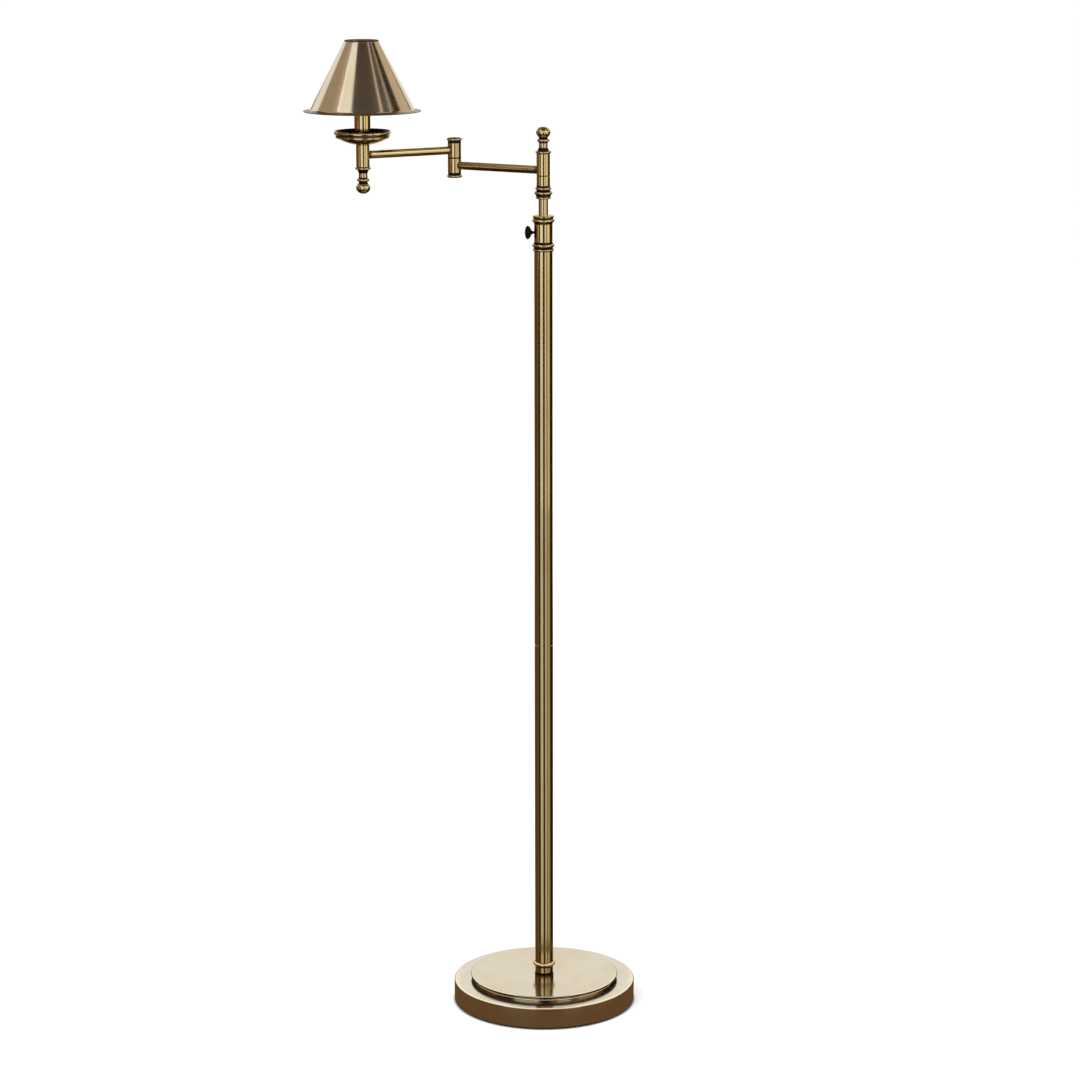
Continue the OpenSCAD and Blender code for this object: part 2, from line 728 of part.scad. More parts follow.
// Clip: a ring round the bulb's widest part and four struts, coped to the upper ring
module shade_clip() {
    run = [clip_top_r - clip_low_r, z_clip_top - z_bulb_wide];
    color(steel) at_head() {
        wire_ring(clip_low_r, z_bulb_wide);
        difference() {
            for (a = [45:90:315]) rotate([0, 0, a]) translate([clip_low_r, 0, z_bulb_wide])
                rotate([0, atan2(run[0], run[1]), 0])
                    cylinder(r = wire_r * 0.9, h = norm(run), $fn = 24);
            wire_ring(clip_top_r, z_clip_top);
        }
    }
}

// Upper ring, soldered under the shade's top edge
module clip_ring() {
    color(steel) at_head() wire_ring(clip_top_r, z_clip_top);
}

felt_pad();
base_weight();
base_cover();
step_plate();
cord_bush();
clamp_nut();
clamp_washer();
tie_nipple();
step_spacer();
pole_foot();
lower_tube();
tube_coupling();
upper_tube();
height_collar();
collar_liner();
clamp_pad();
thumb_screw();
stem_tube();
guide_bush();
lower_knuckle();
post_spindle();
post_washers();
post_hub();
post_finial();
inner_arm_tube();
elbow_lower_hub();
elbow_pivot();
elbow_washers();
elbow_bottom_cap();
elbow_top_cap();
elbow_upper_hub();
outer_arm_tube();
head_hub();
head_finial();
head_nipple();
drip_pan();
candle_tube();
lampholder();
holder_shell();
holder_contact();
bulb_cap();
bulb_glass();
shade();
shade_clip();
clip_ring();
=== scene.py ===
# %% [markdown]
# # A bridge floor lamp in antique brass
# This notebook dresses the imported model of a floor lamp. The model is the frame: it fixes
# every place, size and joint. Each visible piece is modelled again on top of it with finer
# edges, gets a brass that shows how it was turned, spun or drawn, and rides on the body
# that carries it, so the lamp can still be moved at all of its joints.

# %% Load the frame
import json
import math
import bpy
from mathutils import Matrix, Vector


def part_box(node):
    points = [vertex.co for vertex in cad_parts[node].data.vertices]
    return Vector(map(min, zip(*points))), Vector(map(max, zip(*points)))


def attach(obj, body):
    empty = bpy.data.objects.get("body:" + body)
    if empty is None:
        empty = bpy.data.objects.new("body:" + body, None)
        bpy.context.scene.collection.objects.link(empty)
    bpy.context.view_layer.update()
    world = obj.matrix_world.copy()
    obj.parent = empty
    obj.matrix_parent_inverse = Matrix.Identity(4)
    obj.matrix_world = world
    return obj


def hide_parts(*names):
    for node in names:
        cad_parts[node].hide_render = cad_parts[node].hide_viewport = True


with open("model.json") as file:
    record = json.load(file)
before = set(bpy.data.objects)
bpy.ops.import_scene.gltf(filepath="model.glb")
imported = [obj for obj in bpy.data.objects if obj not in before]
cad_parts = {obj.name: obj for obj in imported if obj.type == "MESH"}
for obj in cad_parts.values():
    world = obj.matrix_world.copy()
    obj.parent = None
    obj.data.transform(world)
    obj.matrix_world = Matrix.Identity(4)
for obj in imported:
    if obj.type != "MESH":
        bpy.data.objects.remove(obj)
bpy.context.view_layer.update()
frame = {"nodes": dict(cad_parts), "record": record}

MM = 0.001

# %% [markdown]
# ## The camera
# A lamp that is as tall as a child fills a square picture only from far away, so the lens
# is long. It stands a little above the shade and looks down by about twelve degrees, which
# opens the foot into an ellipse while the shade stays almost side on. The camera comes
# first, because everything that follows is judged through it.

# %% Camera
CAMERA_PLACE = (-0.006, -5.085, 1.887)
CAMERA_PITCH = math.radians(90 - 12.222)
CAMERA_ROLL = math.radians(-0.08)
LENS = 106.67

bpy.ops.object.camera_add(location=CAMERA_PLACE, rotation=(CAMERA_PITCH, 0, 0))
camera = bpy.context.object
camera.name = "camera"
camera.rotation_euler.rotate_axis("Z", CAMERA_ROLL)
camera.data.lens = LENS
camera.data.sensor_width = 36
bpy.context.scene.camera = camera
bpy.context.scene.view_settings.view_transform = "Standard"
print("camera at", CAMERA_PLACE, "with a lens of", LENS, "mm")

# %% [markdown]
# ## Reading sizes from the frame
# Almost everything on this lamp is round and stands on one of three upright axes: the
# post, the elbow and the lamp head. Four small functions read a node's ends, radius and
# axis from its box, so that no size is typed twice. Heights and radii are in millimetres,
# as on a turner's drawing, and only places are in metres.

# %% Sizes of the nodes
def foot_of(node):
    return round(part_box(node)[0].z / MM, 2)


def top_of(node):
    return round(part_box(node)[1].z / MM, 2)


def radius_of(node):
    low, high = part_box(node)
    return round((high.x - low.x) / 2 / MM, 2)


def axis_of(node):
    low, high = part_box(node)
    return Vector(((low.x + high.x) / 2, (low.y + high.y) / 2, 0))


POST = Vector((0, 0, 0))
ELBOW = axis_of("elbow_top_cap")
HEAD = axis_of("candle_tube")
ROD_BORE = 5.1
SWIVEL_BORE = 5.05
pole_r = radius_of("upper_tube")
barrel_r = radius_of("elbow_upper_hub")
print(f"pole {2 * pole_r} mm, barrels {2 * barrel_r} mm, head {-HEAD.x:.3f} m from the post")

# %% [markdown]
# ## The lathe
# Brass lamp parts come off a lathe, so the tool of this notebook is a lathe as well. A
# plane is merged to one point, the point is extruded from corner to corner of the outline,
# and the line is spun round its axis. A Screw modifier or a stack of cylinders could do it
# too, but an outline spun by hand shows every bead and groove in one list of points.
# Turned edges are never knife sharp, so a small bevel finishes each piece.

# %% Outline helpers
def oval(centre_r, centre_z, radius_r, radius_z, start, end, steps=10):
    turn = [math.radians(start + (end - start) * i / steps) for i in range(steps + 1)]
    return [(centre_r + radius_r * math.cos(a), centre_z + radius_z * math.sin(a)) for a in turn]


def arc(centre_r, centre_z, radius, start, end, steps=10):
    return oval(centre_r, centre_z, radius, radius, start, end, steps)


def bead(outer_r, z0, z1):
    half = (z1 - z0) / 2
    return arc(outer_r - half, z0 + half, half, -90, 90)


# %% [markdown]
# A long straight wall has points only at its ends, and a value that is kept on points would
# fade over the whole of it. So four more rings are put near each end of a long stretch.

# %% Rings near the corners
REACH = 3.5


def with_rings(outline):
    points = []
    for (r0, z0), (r1, z1) in zip(outline, outline[1:]):
        points.append((r0, z0))
        length = math.hypot(r1 - r0, z1 - z0)
        if length > 2.2 * REACH:
            near = [REACH * share / length for share in (0.25, 0.5, 0.75, 1.0)]
            for share in near + [1 - n for n in reversed(near)]:
                points.append((r0 + (r1 - r0) * share, z0 + (z1 - z0) * share))
    return points + [outline[-1]]


# %% The lathe itself
UP = Vector((0, 0, 1))
WAYS = {"up": (Vector((1, 0, 0)), UP),
        "down": (Vector((1, 0, 0)), Vector((0, 0, -1))),
        "left": (Vector((0, 0, 1)), Vector((-1, 0, 0)))}
SMOOTH_ANGLE = math.radians(32)


def edit_whole_mesh():
    bpy.ops.object.mode_set(mode="EDIT")
    bpy.ops.mesh.select_all(action="SELECT")


def first_point(name, place):
    bpy.ops.object.select_all(action="DESELECT")
    bpy.ops.mesh.primitive_plane_add(size=0.01, location=place)
    piece = bpy.context.object
    piece.name = name
    piece.data.name = name
    bpy.ops.object.transform_apply(location=True, rotation=False, scale=False)
    edit_whole_mesh()
    bpy.ops.mesh.merge(type="CENTER")
    return piece


def draw_line(points):
    for here, there in zip(points, points[1:]):
        bpy.ops.mesh.extrude_region_move(TRANSFORM_OT_translate={"value": there - here})


def turned(name, outline, foot, way="up", edge=0.15, steps=96):
    out, along = WAYS[way]
    points = [foot + (out * r + along * z) * MM for r, z in with_rings(outline)]
    if outline[-1][0] > 0:
        points.append(points[0])
    piece = first_point(name, points[0])
    draw_line(points)
    bpy.ops.mesh.select_all(action="SELECT")
    bpy.ops.mesh.spin(steps=steps, angle=math.tau, center=foot, axis=along)
    bpy.ops.mesh.select_all(action="SELECT")
    bpy.ops.mesh.remove_doubles(threshold=5e-6)
    bpy.ops.mesh.normals_make_consistent(inside=False)
    bpy.ops.object.mode_set(mode="OBJECT")
    if edge:
        soften(piece, edge)
    map_recesses(piece, outline, foot, along)
    bpy.ops.object.shade_smooth_by_angle(angle=SMOOTH_ANGLE)
    return piece


# %% Soft edges
def soften(piece, edge):
    bpy.ops.object.modifier_add(type="BEVEL")
    bevel = piece.modifiers[-1]
    bevel.width = edge * MM
    bevel.segments = 2
    bevel.limit_method = "ANGLE"
    bevel.angle_limit = math.radians(30)
    bpy.ops.object.modifier_apply(modifier=bevel.name)


# %% [markdown]
# ## Where patina stays
# Antique brass is coppered and blackened first and then wiped, so the dark stays in the
# grooves and the beads come out bright. Each turned piece keeps two numbers on its points:
# recess, where the outline bends inwards, and ridge, where it stands out. A point is
# compared with its neighbours a few millimetres up and down the outline: if they lie
# outside of it, the point is in a groove. Baked cavity maps do the same from a picture.

# %% Walk along an outline
STEP = 0.4
GROOVE = 0.3
RIDGE = 0.9


def samples_along(outline):
    closed = outline + [outline[0]]
    samples = []
    for (r0, z0), (r1, z1) in zip(closed, closed[1:]):
        count = max(1, round(math.hypot(r1 - r0, z1 - z0) / STEP))
        samples += [(r0 + (r1 - r0) * i / count, z0 + (z1 - z0) * i / count) for i in range(count)]
    return samples


def hollow_at(samples, index):
    count = len(samples)
    r, z = samples[index]
    (r0, z0), (r1, z1) = samples[index - 1], samples[(index + 1) % count]
    length = math.hypot(r1 - r0, z1 - z0) or 1.0
    normal_r, normal_z = (z1 - z0) / length, (r0 - r1) / length
    span = round(REACH / STEP)
    near = [samples[(index + i) % count] for i in range(-span, span + 1)]
    return sum((q - r) * normal_r + (h - z) * normal_z for q, h in near) / len(near)


# %% Recess and ridge attributes
def map_recesses(piece, outline, foot, along=UP):
    samples = samples_along(outline)
    hollow = [hollow_at(samples, i) for i in range(len(samples))]
    known = {}
    recess, ridge = [], []
    for vertex in piece.data.vertices:
        offset = vertex.co - foot
        z = round(offset.dot(along) / MM, 1)
        r = round((offset - along * offset.dot(along)).length / MM, 1)
        if (r, z) not in known:
            gaps = [(q - r) ** 2 + (h - z) ** 2 for q, h in samples]
            depth = hollow[gaps.index(min(gaps))]
            known[r, z] = (min(1, max(0, depth / GROOVE)), min(1, max(0, -depth / RIDGE)))
        recess.append(known[r, z][0])
        ridge.append(known[r, z][1])
    for name, values in (("recess", recess), ("ridge", ridge)):
        layer = piece.data.attributes.get(name) or piece.data.attributes.new(name, "FLOAT", "POINT")
        layer.data.foreach_set("value", values)


# %% [markdown]
# An outline knows nothing of its neighbours, so a corner between two pieces isn't a groove
# to it. Such places are darkened one by one: a test on radius and height picks the points.

# %% Stain where two pieces meet, and paint shade
# Besides patina at joints, this also paints shade and dark reflections as black patina on some pieces: the foot's
# lower edge, the plate's nose and cove, the caps' end faces, the pan's inside and back rim, and the shade's lip and
# upper edge.
def stain_and_shade(piece, foot, test, amount=1.0, along=UP):
    recess = piece.data.attributes["recess"].data
    for vertex, value in zip(piece.data.vertices, recess):
        offset = (vertex.co - foot) / MM
        z = offset.dot(along)
        if test((offset - along * z).length, z):
            value.value = amount


# %% [markdown]
# ## Short words for shader nodes
# A material in code is a list of nodes and of links between them. A few helpers keep it
# readable: one writes a number or a link into a socket, and the others make a sum, a noise,
# a mix of colours or a bump. With them a recipe reads almost as a formula. A socket knows
# the tree that it belongs to, so a link needs no more than its two ends.

# %% Node helpers
def put(value, socket):
    if isinstance(value, bpy.types.NodeSocket):
        socket.id_data.links.new(value, socket)
    else:
        socket.default_value = value


def fill(node, values):
    for label, value in values.items():
        put(value, node.inputs[label])


def operate(tree, kind, operation, values):
    node = tree.nodes.new(kind)
    node.operation = operation
    for value, socket in zip(values, node.inputs):
        put(value, socket)
    return node.outputs


def calc(tree, operation, *values):
    return operate(tree, "ShaderNodeMath", operation, values)[0]


def vector_calc(tree, operation, *values):
    outputs = operate(tree, "ShaderNodeVectorMath", operation, values)
    return outputs["Value" if operation == "LENGTH" else "Vector"]


def own_place(tree):
    return tree.nodes.new("ShaderNodeTexCoord").outputs["Object"]


def light_path(tree):
    return tree.nodes.new("ShaderNodeLightPath").outputs


def split_xyz(tree, vector):
    node = tree.nodes.new("ShaderNodeSeparateXYZ")
    put(vector, node.inputs[0])
    return node.outputs


def join_xyz(tree, x, y):
    node = tree.nodes.new("ShaderNodeCombineXYZ")
    fill(node, {"X": x, "Y": y})
    return node.outputs[0]


def noise(tree, vector, scale, detail=2.0):
    node = tree.nodes.new("ShaderNodeTexNoise")
    fill(node, {"Vector": vector, "Scale": scale, "Detail": detail})
    return node.outputs["Fac"]


def blend(tree, amount, first, second, mode="MIX"):
    node = tree.nodes.new("ShaderNodeMix")
    node.data_type = "RGBA"
    node.blend_type = mode
    fill(node, {"Factor": amount, 6: first, 7: second})
    return node.outputs[2]


def bump(tree, height, depth):
    node = tree.nodes.new("ShaderNodeBump")
    fill(node, {"Distance": depth * MM, "Height": height})
    return node.outputs["Normal"]


def new_group(name, inputs, outputs):
    group = bpy.data.node_groups.new(name, "ShaderNodeTree")
    for label, kind, value in inputs:
        socket = group.interface.new_socket(label, in_out="INPUT", socket_type="NodeSocket" + kind)
        if value is not None:
            socket.default_value = value
    for label, kind in outputs:
        group.interface.new_socket(label, in_out="OUTPUT", socket_type="NodeSocket" + kind)
    return group, group.nodes.new("NodeGroupInput").outputs, group.nodes.new("NodeGroupOutput").inputs


# %% [markdown]
# ## Turning lines
# A tool or a brush that runs round a spinning part leaves fine rings. Every ring has one
# radius and one height, so the pattern is a noise over radius and height only. A little of
# the direction round the axis is added, which makes the rings start and end softly.
# A wave texture would repeat too evenly for a hand-held brush.

# %% Turning lines group
turning_group, given, made = new_group(
    "turning_lines", [("Vector", "Vector", None), ("Lines", "Float", 1500.0), ("Run", "Float", 2.0)],
    [("Rings", "Float")])
tree = turning_group
split = split_xyz(tree, given["Vector"])
flat = join_xyz(tree, split["X"], split["Y"])
ring = join_xyz(tree, calc(tree, "MULTIPLY", vector_calc(tree, "LENGTH", flat), given["Lines"]),
                calc(tree, "MULTIPLY", split["Z"], given["Lines"]))
around = tree.nodes.new("ShaderNodeVectorMath")
around.operation = "SCALE"
put(vector_calc(tree, "NORMALIZE", flat), around.inputs[0])
put(given["Run"], around.inputs["Scale"])
put(noise(tree, vector_calc(tree, "ADD", ring, around.outputs[0]), 1.0), made["Rings"])
print("group:", turning_group.name)

# %% [markdown]
# ## Antique tone
# Under its lacquer the plating isn't one colour. It drifts slowly between a yellower and a
# browner tone, and it is dark where the wiping cloth didn't reach. The group takes the two
# colours and the recess and ridge numbers, breaks the edge of the dark with a fine noise, and
# gives back a colour, how dark each place is, where the dark has grown to a crust that is
# metal no more, and the slow drift for the gloss. Where a recess number is set above one on
# purpose, that dark and that crust are painted shade and painted dark reflection, not patina.

# %% Antique tone group
antique_group, given, made = new_group(
    "antique_tone",
    [("Vector", "Vector", None), ("Bright", "Color", (0.7, 0.56, 0.32, 1)), ("Dark", "Color", (0.03, 0.015, 0.01, 1)),
     ("Recess", "Float", 0.0), ("Ridge", "Float", 0.0), ("Patina", "Float", 0.8)],
    [("Color", "Color"), ("StainAndShade", "Float"), ("CrustAndShade", "Float"), ("Drift", "Float")])
tree = antique_group
drift = noise(tree, given["Vector"], 16.0, 3.0)
speck = noise(tree, given["Vector"], 900.0)
edge_noise = calc(tree, "MULTIPLY_ADD", speck, 0.8, 0.6)
held = calc(tree, "MULTIPLY", calc(tree, "MULTIPLY", given["Recess"], edge_noise), given["Patina"])
patina_and_shade_share = calc(tree, "MINIMUM", held, 1.0)
browner = blend(tree, 1.0, given["Bright"], (0.90, 0.82, 0.68, 1), "MULTIPLY")
tone = blend(tree, calc(tree, "MULTIPLY_ADD", drift, 1.6, -0.4), given["Bright"], browner)
wiped = blend(tree, calc(tree, "MULTIPLY", given["Ridge"], 0.25), tone, (0.90, 0.78, 0.50, 1))
put(blend(tree, patina_and_shade_share, wiped, given["Dark"]), made["Color"])
put(patina_and_shade_share, made["StainAndShade"])
put(calc(tree, "MINIMUM", calc(tree, "MAXIMUM", calc(tree, "SUBTRACT", held, 1.0), 0.0), 1.0), made["CrustAndShade"])
put(drift, made["Drift"])
print("group:", antique_group.name)

# %% [markdown]
# ## Brass
# One function makes every brass of the lamp from the two groups. What differs is the tone,
# the roughness, and the axis that the lines run round. Brushing also stretches the gloss
# across its lines, which keeps the stripes on the tubes crisp. The tangent runs round the
# axis, and a quarter turn of the anisotropy lays the stretched gloss across the lines. A
# crust is no metal: it loses its mirror and nearly all of its gloss, so it stays black. In
# deep grooves it is patina; where it is set on purpose it is painted shade and painted dark
# reflection.

# %% The brass recipe
UMBER = (0.020, 0.009, 0.004)
RING_DEPTH = 0.0002
CRUST_AND_SHADE_SHINE = 0.15
QUARTER_TURN = 0.25


def new_material(name):
    material = bpy.data.materials.new(name)
    material.use_nodes = True
    tree = material.node_tree
    return material, tree, tree.nodes["Principled BSDF"]


def add_group(tree, group, **values):
    node = tree.nodes.new("ShaderNodeGroup")
    node.node_tree = group
    fill(node, values)
    return node.outputs


def attribute(tree, name):
    node = tree.nodes.new("ShaderNodeAttribute")
    node.attribute_name = name
    return node.outputs["Fac"]


def round_coordinates(tree, centre, lean):
    place = tree.nodes.new("ShaderNodeMapping")
    place.vector_type = "TEXTURE"
    fill(place, {"Location": centre, "Rotation": lean, "Vector": own_place(tree)})
    return place.outputs["Vector"]


def brush_tangent(tree, centre, axis):
    place = own_place(tree)
    spoke = vector_calc(tree, "SUBTRACT", place, tuple(centre))
    turn = tree.nodes.new("ShaderNodeVectorTransform")
    turn.vector_type = "VECTOR"
    turn.convert_from = "OBJECT"
    turn.convert_to = "WORLD"
    put(vector_calc(tree, "CROSS_PRODUCT", tuple(axis), spoke), turn.inputs["Vector"])
    return turn.outputs["Vector"]


def brass(name, bright, roughness, centre=POST, axis=UP, lean=(0, 0, 0),
          lines=1500.0, contrast=0.10, patina=0.8, brushed=0.6):
    material, tree, metal = new_material(name)
    place = round_coordinates(tree, centre, lean)
    rings = add_group(tree, turning_group, Vector=place, Lines=lines)["Rings"]
    tone = add_group(tree, antique_group, Vector=place, Bright=(*bright, 1), Dark=(*UMBER, 1),
                     Recess=attribute(tree, "recess"), Ridge=attribute(tree, "ridge"), Patina=patina)
    ring_tone = calc(tree, "MULTIPLY_ADD", rings, 2 * contrast, 1 - contrast)
    dull = calc(tree, "MULTIPLY_ADD", tone["StainAndShade"], 0.35, roughness - 0.04)
    worn = calc(tree, "MULTIPLY_ADD", tone["Drift"], 0.05, dull)
    fill(metal, {
        "Base Color": blend(tree, 1.0, tone["Color"], ring_tone, "MULTIPLY"),
        "Roughness": calc(tree, "MULTIPLY_ADD", rings, 0.04, worn), "Normal": bump(tree, rings, RING_DEPTH),
        "Tangent": brush_tangent(tree, centre, axis), "Metallic": calc(tree, "SUBTRACT", 1.0, tone["CrustAndShade"]),
        "Specular IOR Level": CRUST_AND_SHADE_SHINE, "Anisotropic": brushed, "Anisotropic Rotation": QUARTER_TURN})
    return material


# %% The brasses of this lamp
YELLOW = (0.74, 0.63, 0.35)
PALE = (0.93, 0.84, 0.66)
SATIN = (0.95, 0.87, 0.66)

plate_brass = brass("plate_brass", PALE, 0.14, lines=450.0, contrast=0.05, brushed=0.8)
rim_brass = brass("rim_brass", (0.95, 0.87, 0.72), 0.13, lines=450.0, contrast=0.05, brushed=0.7)
tube_brass = brass("tube_brass", YELLOW, 0.12, contrast=0.06)
post_brass, elbow_brass, head_brass = [
    brass("turned_brass_" + name, YELLOW, 0.13, centre=centre, patina=1.4, brushed=0.4)
    for name, centre in (("post", POST), ("elbow", ELBOW), ("head", HEAD))]
candle_brass = brass("candle_brass", YELLOW, 0.14, centre=HEAD, contrast=0.06)
pan_brass = brass("spun_brass", (0.72, 0.58, 0.32), 0.16, centre=HEAD, patina=1.0, brushed=0.5)
shade_brass = brass("shade_brass", SATIN, 0.16, centre=HEAD, lines=900.0, contrast=0.05, brushed=0.6)
print(len(bpy.data.materials), "materials so far")

# %% [markdown]
# ## Putting a piece in its place
# A finished piece takes its material, rides on the body that carries it and stands for
# the node that it was modelled over. The node stays in the simulation and is only hidden.

# %% Fit a piece
def fit(piece, body, node, material):
    piece.data.materials.append(material)
    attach(piece, body)
    if node:
        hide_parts(node)
    size = piece.dimensions / MM
    print(f"{piece.name}: {len(piece.data.polygons)} faces, {size.x:.1f} x {size.y:.1f} x {size.z:.1f} mm")


def at_foot(node, axis_place=POST):
    return axis_place + Vector((0, 0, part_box(node)[0].z))


def at_top(node, axis_place=POST):
    return axis_place + Vector((0, 0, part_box(node)[1].z))


# %% [markdown]
# ## The foot
# The foot is a spun cover over a cast disc: a wide low drum with a rounded upper edge.
# Its face is brushed in circles. On the rear a bush lets the mains lead in, so the cover
# gets a round hole there, cut by a boolean while the lathe still holds the cutter's shape.

# %% Foot cover
cover_r = radius_of("base_cover")
cover_top = top_of("base_cover")
cover_foot = foot_of("base_cover")
sheet_t = 1.5
rod_hole_r = 5.2
rim_round = 2.6

cover_outline = [
    (cover_r - sheet_t, cover_foot), (cover_r - 0.5, cover_foot), (cover_r, cover_foot + 0.5),
    (cover_r, cover_foot + 1.0), (cover_r, cover_foot + 1.5),
    *arc(cover_r - rim_round, cover_top - rim_round, rim_round, 0, 90),
    (rod_hole_r, cover_top), (rod_hole_r, cover_top - sheet_t),
    (cover_r - sheet_t - 1.2, cover_top - sheet_t), (cover_r - sheet_t, cover_top - sheet_t - 1.2)]
foot_cover = turned("foot_cover", cover_outline, POST, edge=0.2, steps=192)

# %% Hole for the lead
ALONG_X = (0, math.radians(90), 0)
ALONG_Y = (math.radians(90), 0, 0)


def drill(piece, radius, depth, centre, way):
    bpy.ops.object.select_all(action="DESELECT")
    bpy.ops.mesh.primitive_cylinder_add(
        vertices=48, radius=radius * MM, depth=depth * MM, location=centre, rotation=way)
    cutter = bpy.context.object
    bpy.ops.object.select_all(action="DESELECT")
    bpy.context.view_layer.objects.active = piece
    piece.select_set(True)
    bpy.ops.object.modifier_add(type="BOOLEAN")
    piece.modifiers[-1].object = cutter
    bpy.ops.object.modifier_apply(modifier=piece.modifiers[-1].name)
    bpy.data.objects.remove(cutter)
    bpy.ops.object.shade_smooth_by_angle(angle=SMOOTH_ANGLE)


bush_low, bush_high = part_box("cord_bush")
bush_z = (bush_low.z + bush_high.z) / 2
bush_r = 5.3
drill(foot_cover, bush_r, 12, (0, bush_low.y + 4 * MM, bush_z), ALONG_Y)
map_recesses(foot_cover, cover_outline, POST)
# Painted contact shade: the lowest 1.2 mm of the rim is made black, as a dark line where the foot meets the floor.
stain_and_shade(foot_cover, POST, lambda r, z: z < cover_foot + 1.2, 3.0)
fit(foot_cover, "stand", "base_cover", rim_brass)

# %% [markdown]
# The raised plate is a second spinning of the same sheet. Its edge is rounded above and
# overhangs a hollow cove, and a bead runs round the cove's foot. The black crescent right
# under the bright edge is a painted dark reflection and painted shade on the nose, the cove
# below is half darkened as painted shade under the overhang, and the bead is wiped clean.

# %% Raised plate
plate_r = radius_of("step_plate")
plate_top = top_of("step_plate")
plate_nose = 3.0
shoulder = 1.8
foot_bead = 2.6
waist = plate_r - 4 - foot_bead / 2
cove_h = plate_top - cover_top - plate_nose - foot_bead - 0.2

plate_outline = [
    (rod_hole_r, plate_top), (rod_hole_r, plate_top - sheet_t),
    (waist - sheet_t - 1, plate_top - sheet_t), (waist - sheet_t, plate_top - sheet_t - 1),
    (waist - sheet_t, cover_top), (waist, cover_top),
    *arc(waist, cover_top + foot_bead / 2, foot_bead / 2, -60, 90),
    *oval(plate_r - 0.6, cover_top + foot_bead + 0.1, plate_r - 0.6 - waist, cove_h, 180, 90, 8),
    (plate_r, plate_top - plate_nose + 0.5),
    *arc(plate_r - shoulder, plate_top - shoulder, shoulder, 0, 90)]
raised_plate = turned("raised_plate", plate_outline, POST, steps=192)
black_low = plate_top - 3.8
black_high = plate_top - 1.2
print(f"cove from {cover_top + foot_bead:.1f} to {plate_top - plate_nose:.1f} mm, black from {black_low:.1f} mm")
# painted shade under the overhang, then the bead wiped clean, then a painted black reflection on the nose
stain_and_shade(raised_plate, POST, lambda r, z: r > waist - 1 and z < black_low, 0.6)
stain_and_shade(raised_plate, POST, lambda r, z: r > waist - 1 and z < cover_top + foot_bead, 0.0)
stain_and_shade(raised_plate, POST, lambda r, z: r > waist - 1 and black_low < z < black_high, 3.0)
fit(raised_plate, "stand", "step_plate", plate_brass)

# %% [markdown]
# ## Felt
# Under the rim a felt disc keeps the iron off the floor. From the front it is only a dark
# line, but its edge is soft and slightly swollen, where a die pressed it out of the sheet.
# Felt is matted fibre, so its tone mixes a fine and a coarse noise and its surface is rough.

# %% Felt disc
felt_r = radius_of("felt_pad")
felt_t = top_of("felt_pad")
felt_outline = [(0, 0.15), (felt_r - 3, 0.15), (felt_r - 0.8, 0), *arc(felt_r - 0.6, felt_t / 2, 0.6, -60, 60, 4),
                (felt_r - 0.8, felt_t), (0, felt_t)]
felt_disc = turned("felt_disc", felt_outline, POST, edge=0, steps=160)


# %% Felt material
def felt(name, colour):
    material, tree, cloth = new_material(name)
    place = own_place(tree)
    fibres = noise(tree, place, 2500.0, 4.0)
    clumps = noise(tree, place, 160.0, 3.0)
    fluff = calc(tree, "MULTIPLY_ADD", fibres, 0.6, calc(tree, "MULTIPLY", clumps, 0.4))
    light = tuple(2.2 * c for c in colour)
    fill(cloth, {"Base Color": blend(tree, fluff, (*colour, 1), (*light, 1)), "Normal": bump(tree, fluff, 0.3),
                 "Roughness": 0.95, "Sheen Weight": 0.3})
    return material


fit(felt_disc, "stand", "felt_pad", felt("felt", (0.022, 0.021, 0.020)))

# %% [markdown]
# ## The pole
# Two drawn tubes meet at half height over a hidden coupling, so there is a hairline groove
# where their chamfered ends touch. The tubes stand on a turned foot with one bead. Tubes
# are spun as rings with a wall, because a shell without thickness would show from its end.

# %% Pole foot
tube_foot_z = foot_of("lower_tube")
neck_top = tube_foot_z - 6.6
pole_foot_z = foot_of("pole_foot")
pole_foot_outline = [
    (ROD_BORE, pole_foot_z), (pole_r - 0.3, pole_foot_z), (pole_r, pole_foot_z + 0.3),
    (pole_r, pole_foot_z + 1.0), (pole_r, pole_foot_z + 2.2), (pole_r, neck_top),
    *bead(radius_of("pole_foot"), neck_top, tube_foot_z),
    (pole_r - 1.3, tube_foot_z), (pole_r - 1.3, tube_foot_z + 20), (6, tube_foot_z + 20), (6, tube_foot_z),
    (ROD_BORE, tube_foot_z)]
pole_foot = turned("pole_foot_turning", pole_foot_outline, POST)
stain_and_shade(pole_foot, POST, lambda r, z: z < pole_foot_z + 1.1)
fit(pole_foot, "stand", "pole_foot", post_brass)

# %% Pole tubes
pole_wall = 1.2
seam_chamfer = 0.4


def tube_outline(z0, z1, low_chamfer, high_chamfer):
    return [(pole_r - pole_wall, z0), (pole_r - low_chamfer, z0), (pole_r, z0 + low_chamfer),
            (pole_r, z1 - high_chamfer), (pole_r - high_chamfer, z1), (pole_r - pole_wall, z1)]


def pipe_outline(node, r, wall):
    z0, z1 = foot_of(node), top_of(node)
    return [(r - wall, z0), (r, z0), (r, z1), (r - wall, z1)]


seam_z = top_of("lower_tube")
collar_z = top_of("upper_tube")
lower_pole = turned("lower_pole", tube_outline(tube_foot_z, seam_z, 0.1, seam_chamfer), POST, edge=0)
fit(lower_pole, "stand", "lower_tube", tube_brass)
upper_pole = turned("upper_pole", tube_outline(seam_z, collar_z, seam_chamfer, 0.1), POST, edge=0)
fit(upper_pole, "stand", "upper_tube", tube_brass)

# %% [markdown]
# ## The height collar
# The collar carries the richest turning of the post: two rings at its foot, a plain body
# that takes the thumb screw, a third ring, and a cove that flares out to the lip. Heights
# are counted from the top of the pole, as they would be on the turner's drawing. The cross
# hole is wider inside, so the slug at the screw's tip has room when the screw is undone.

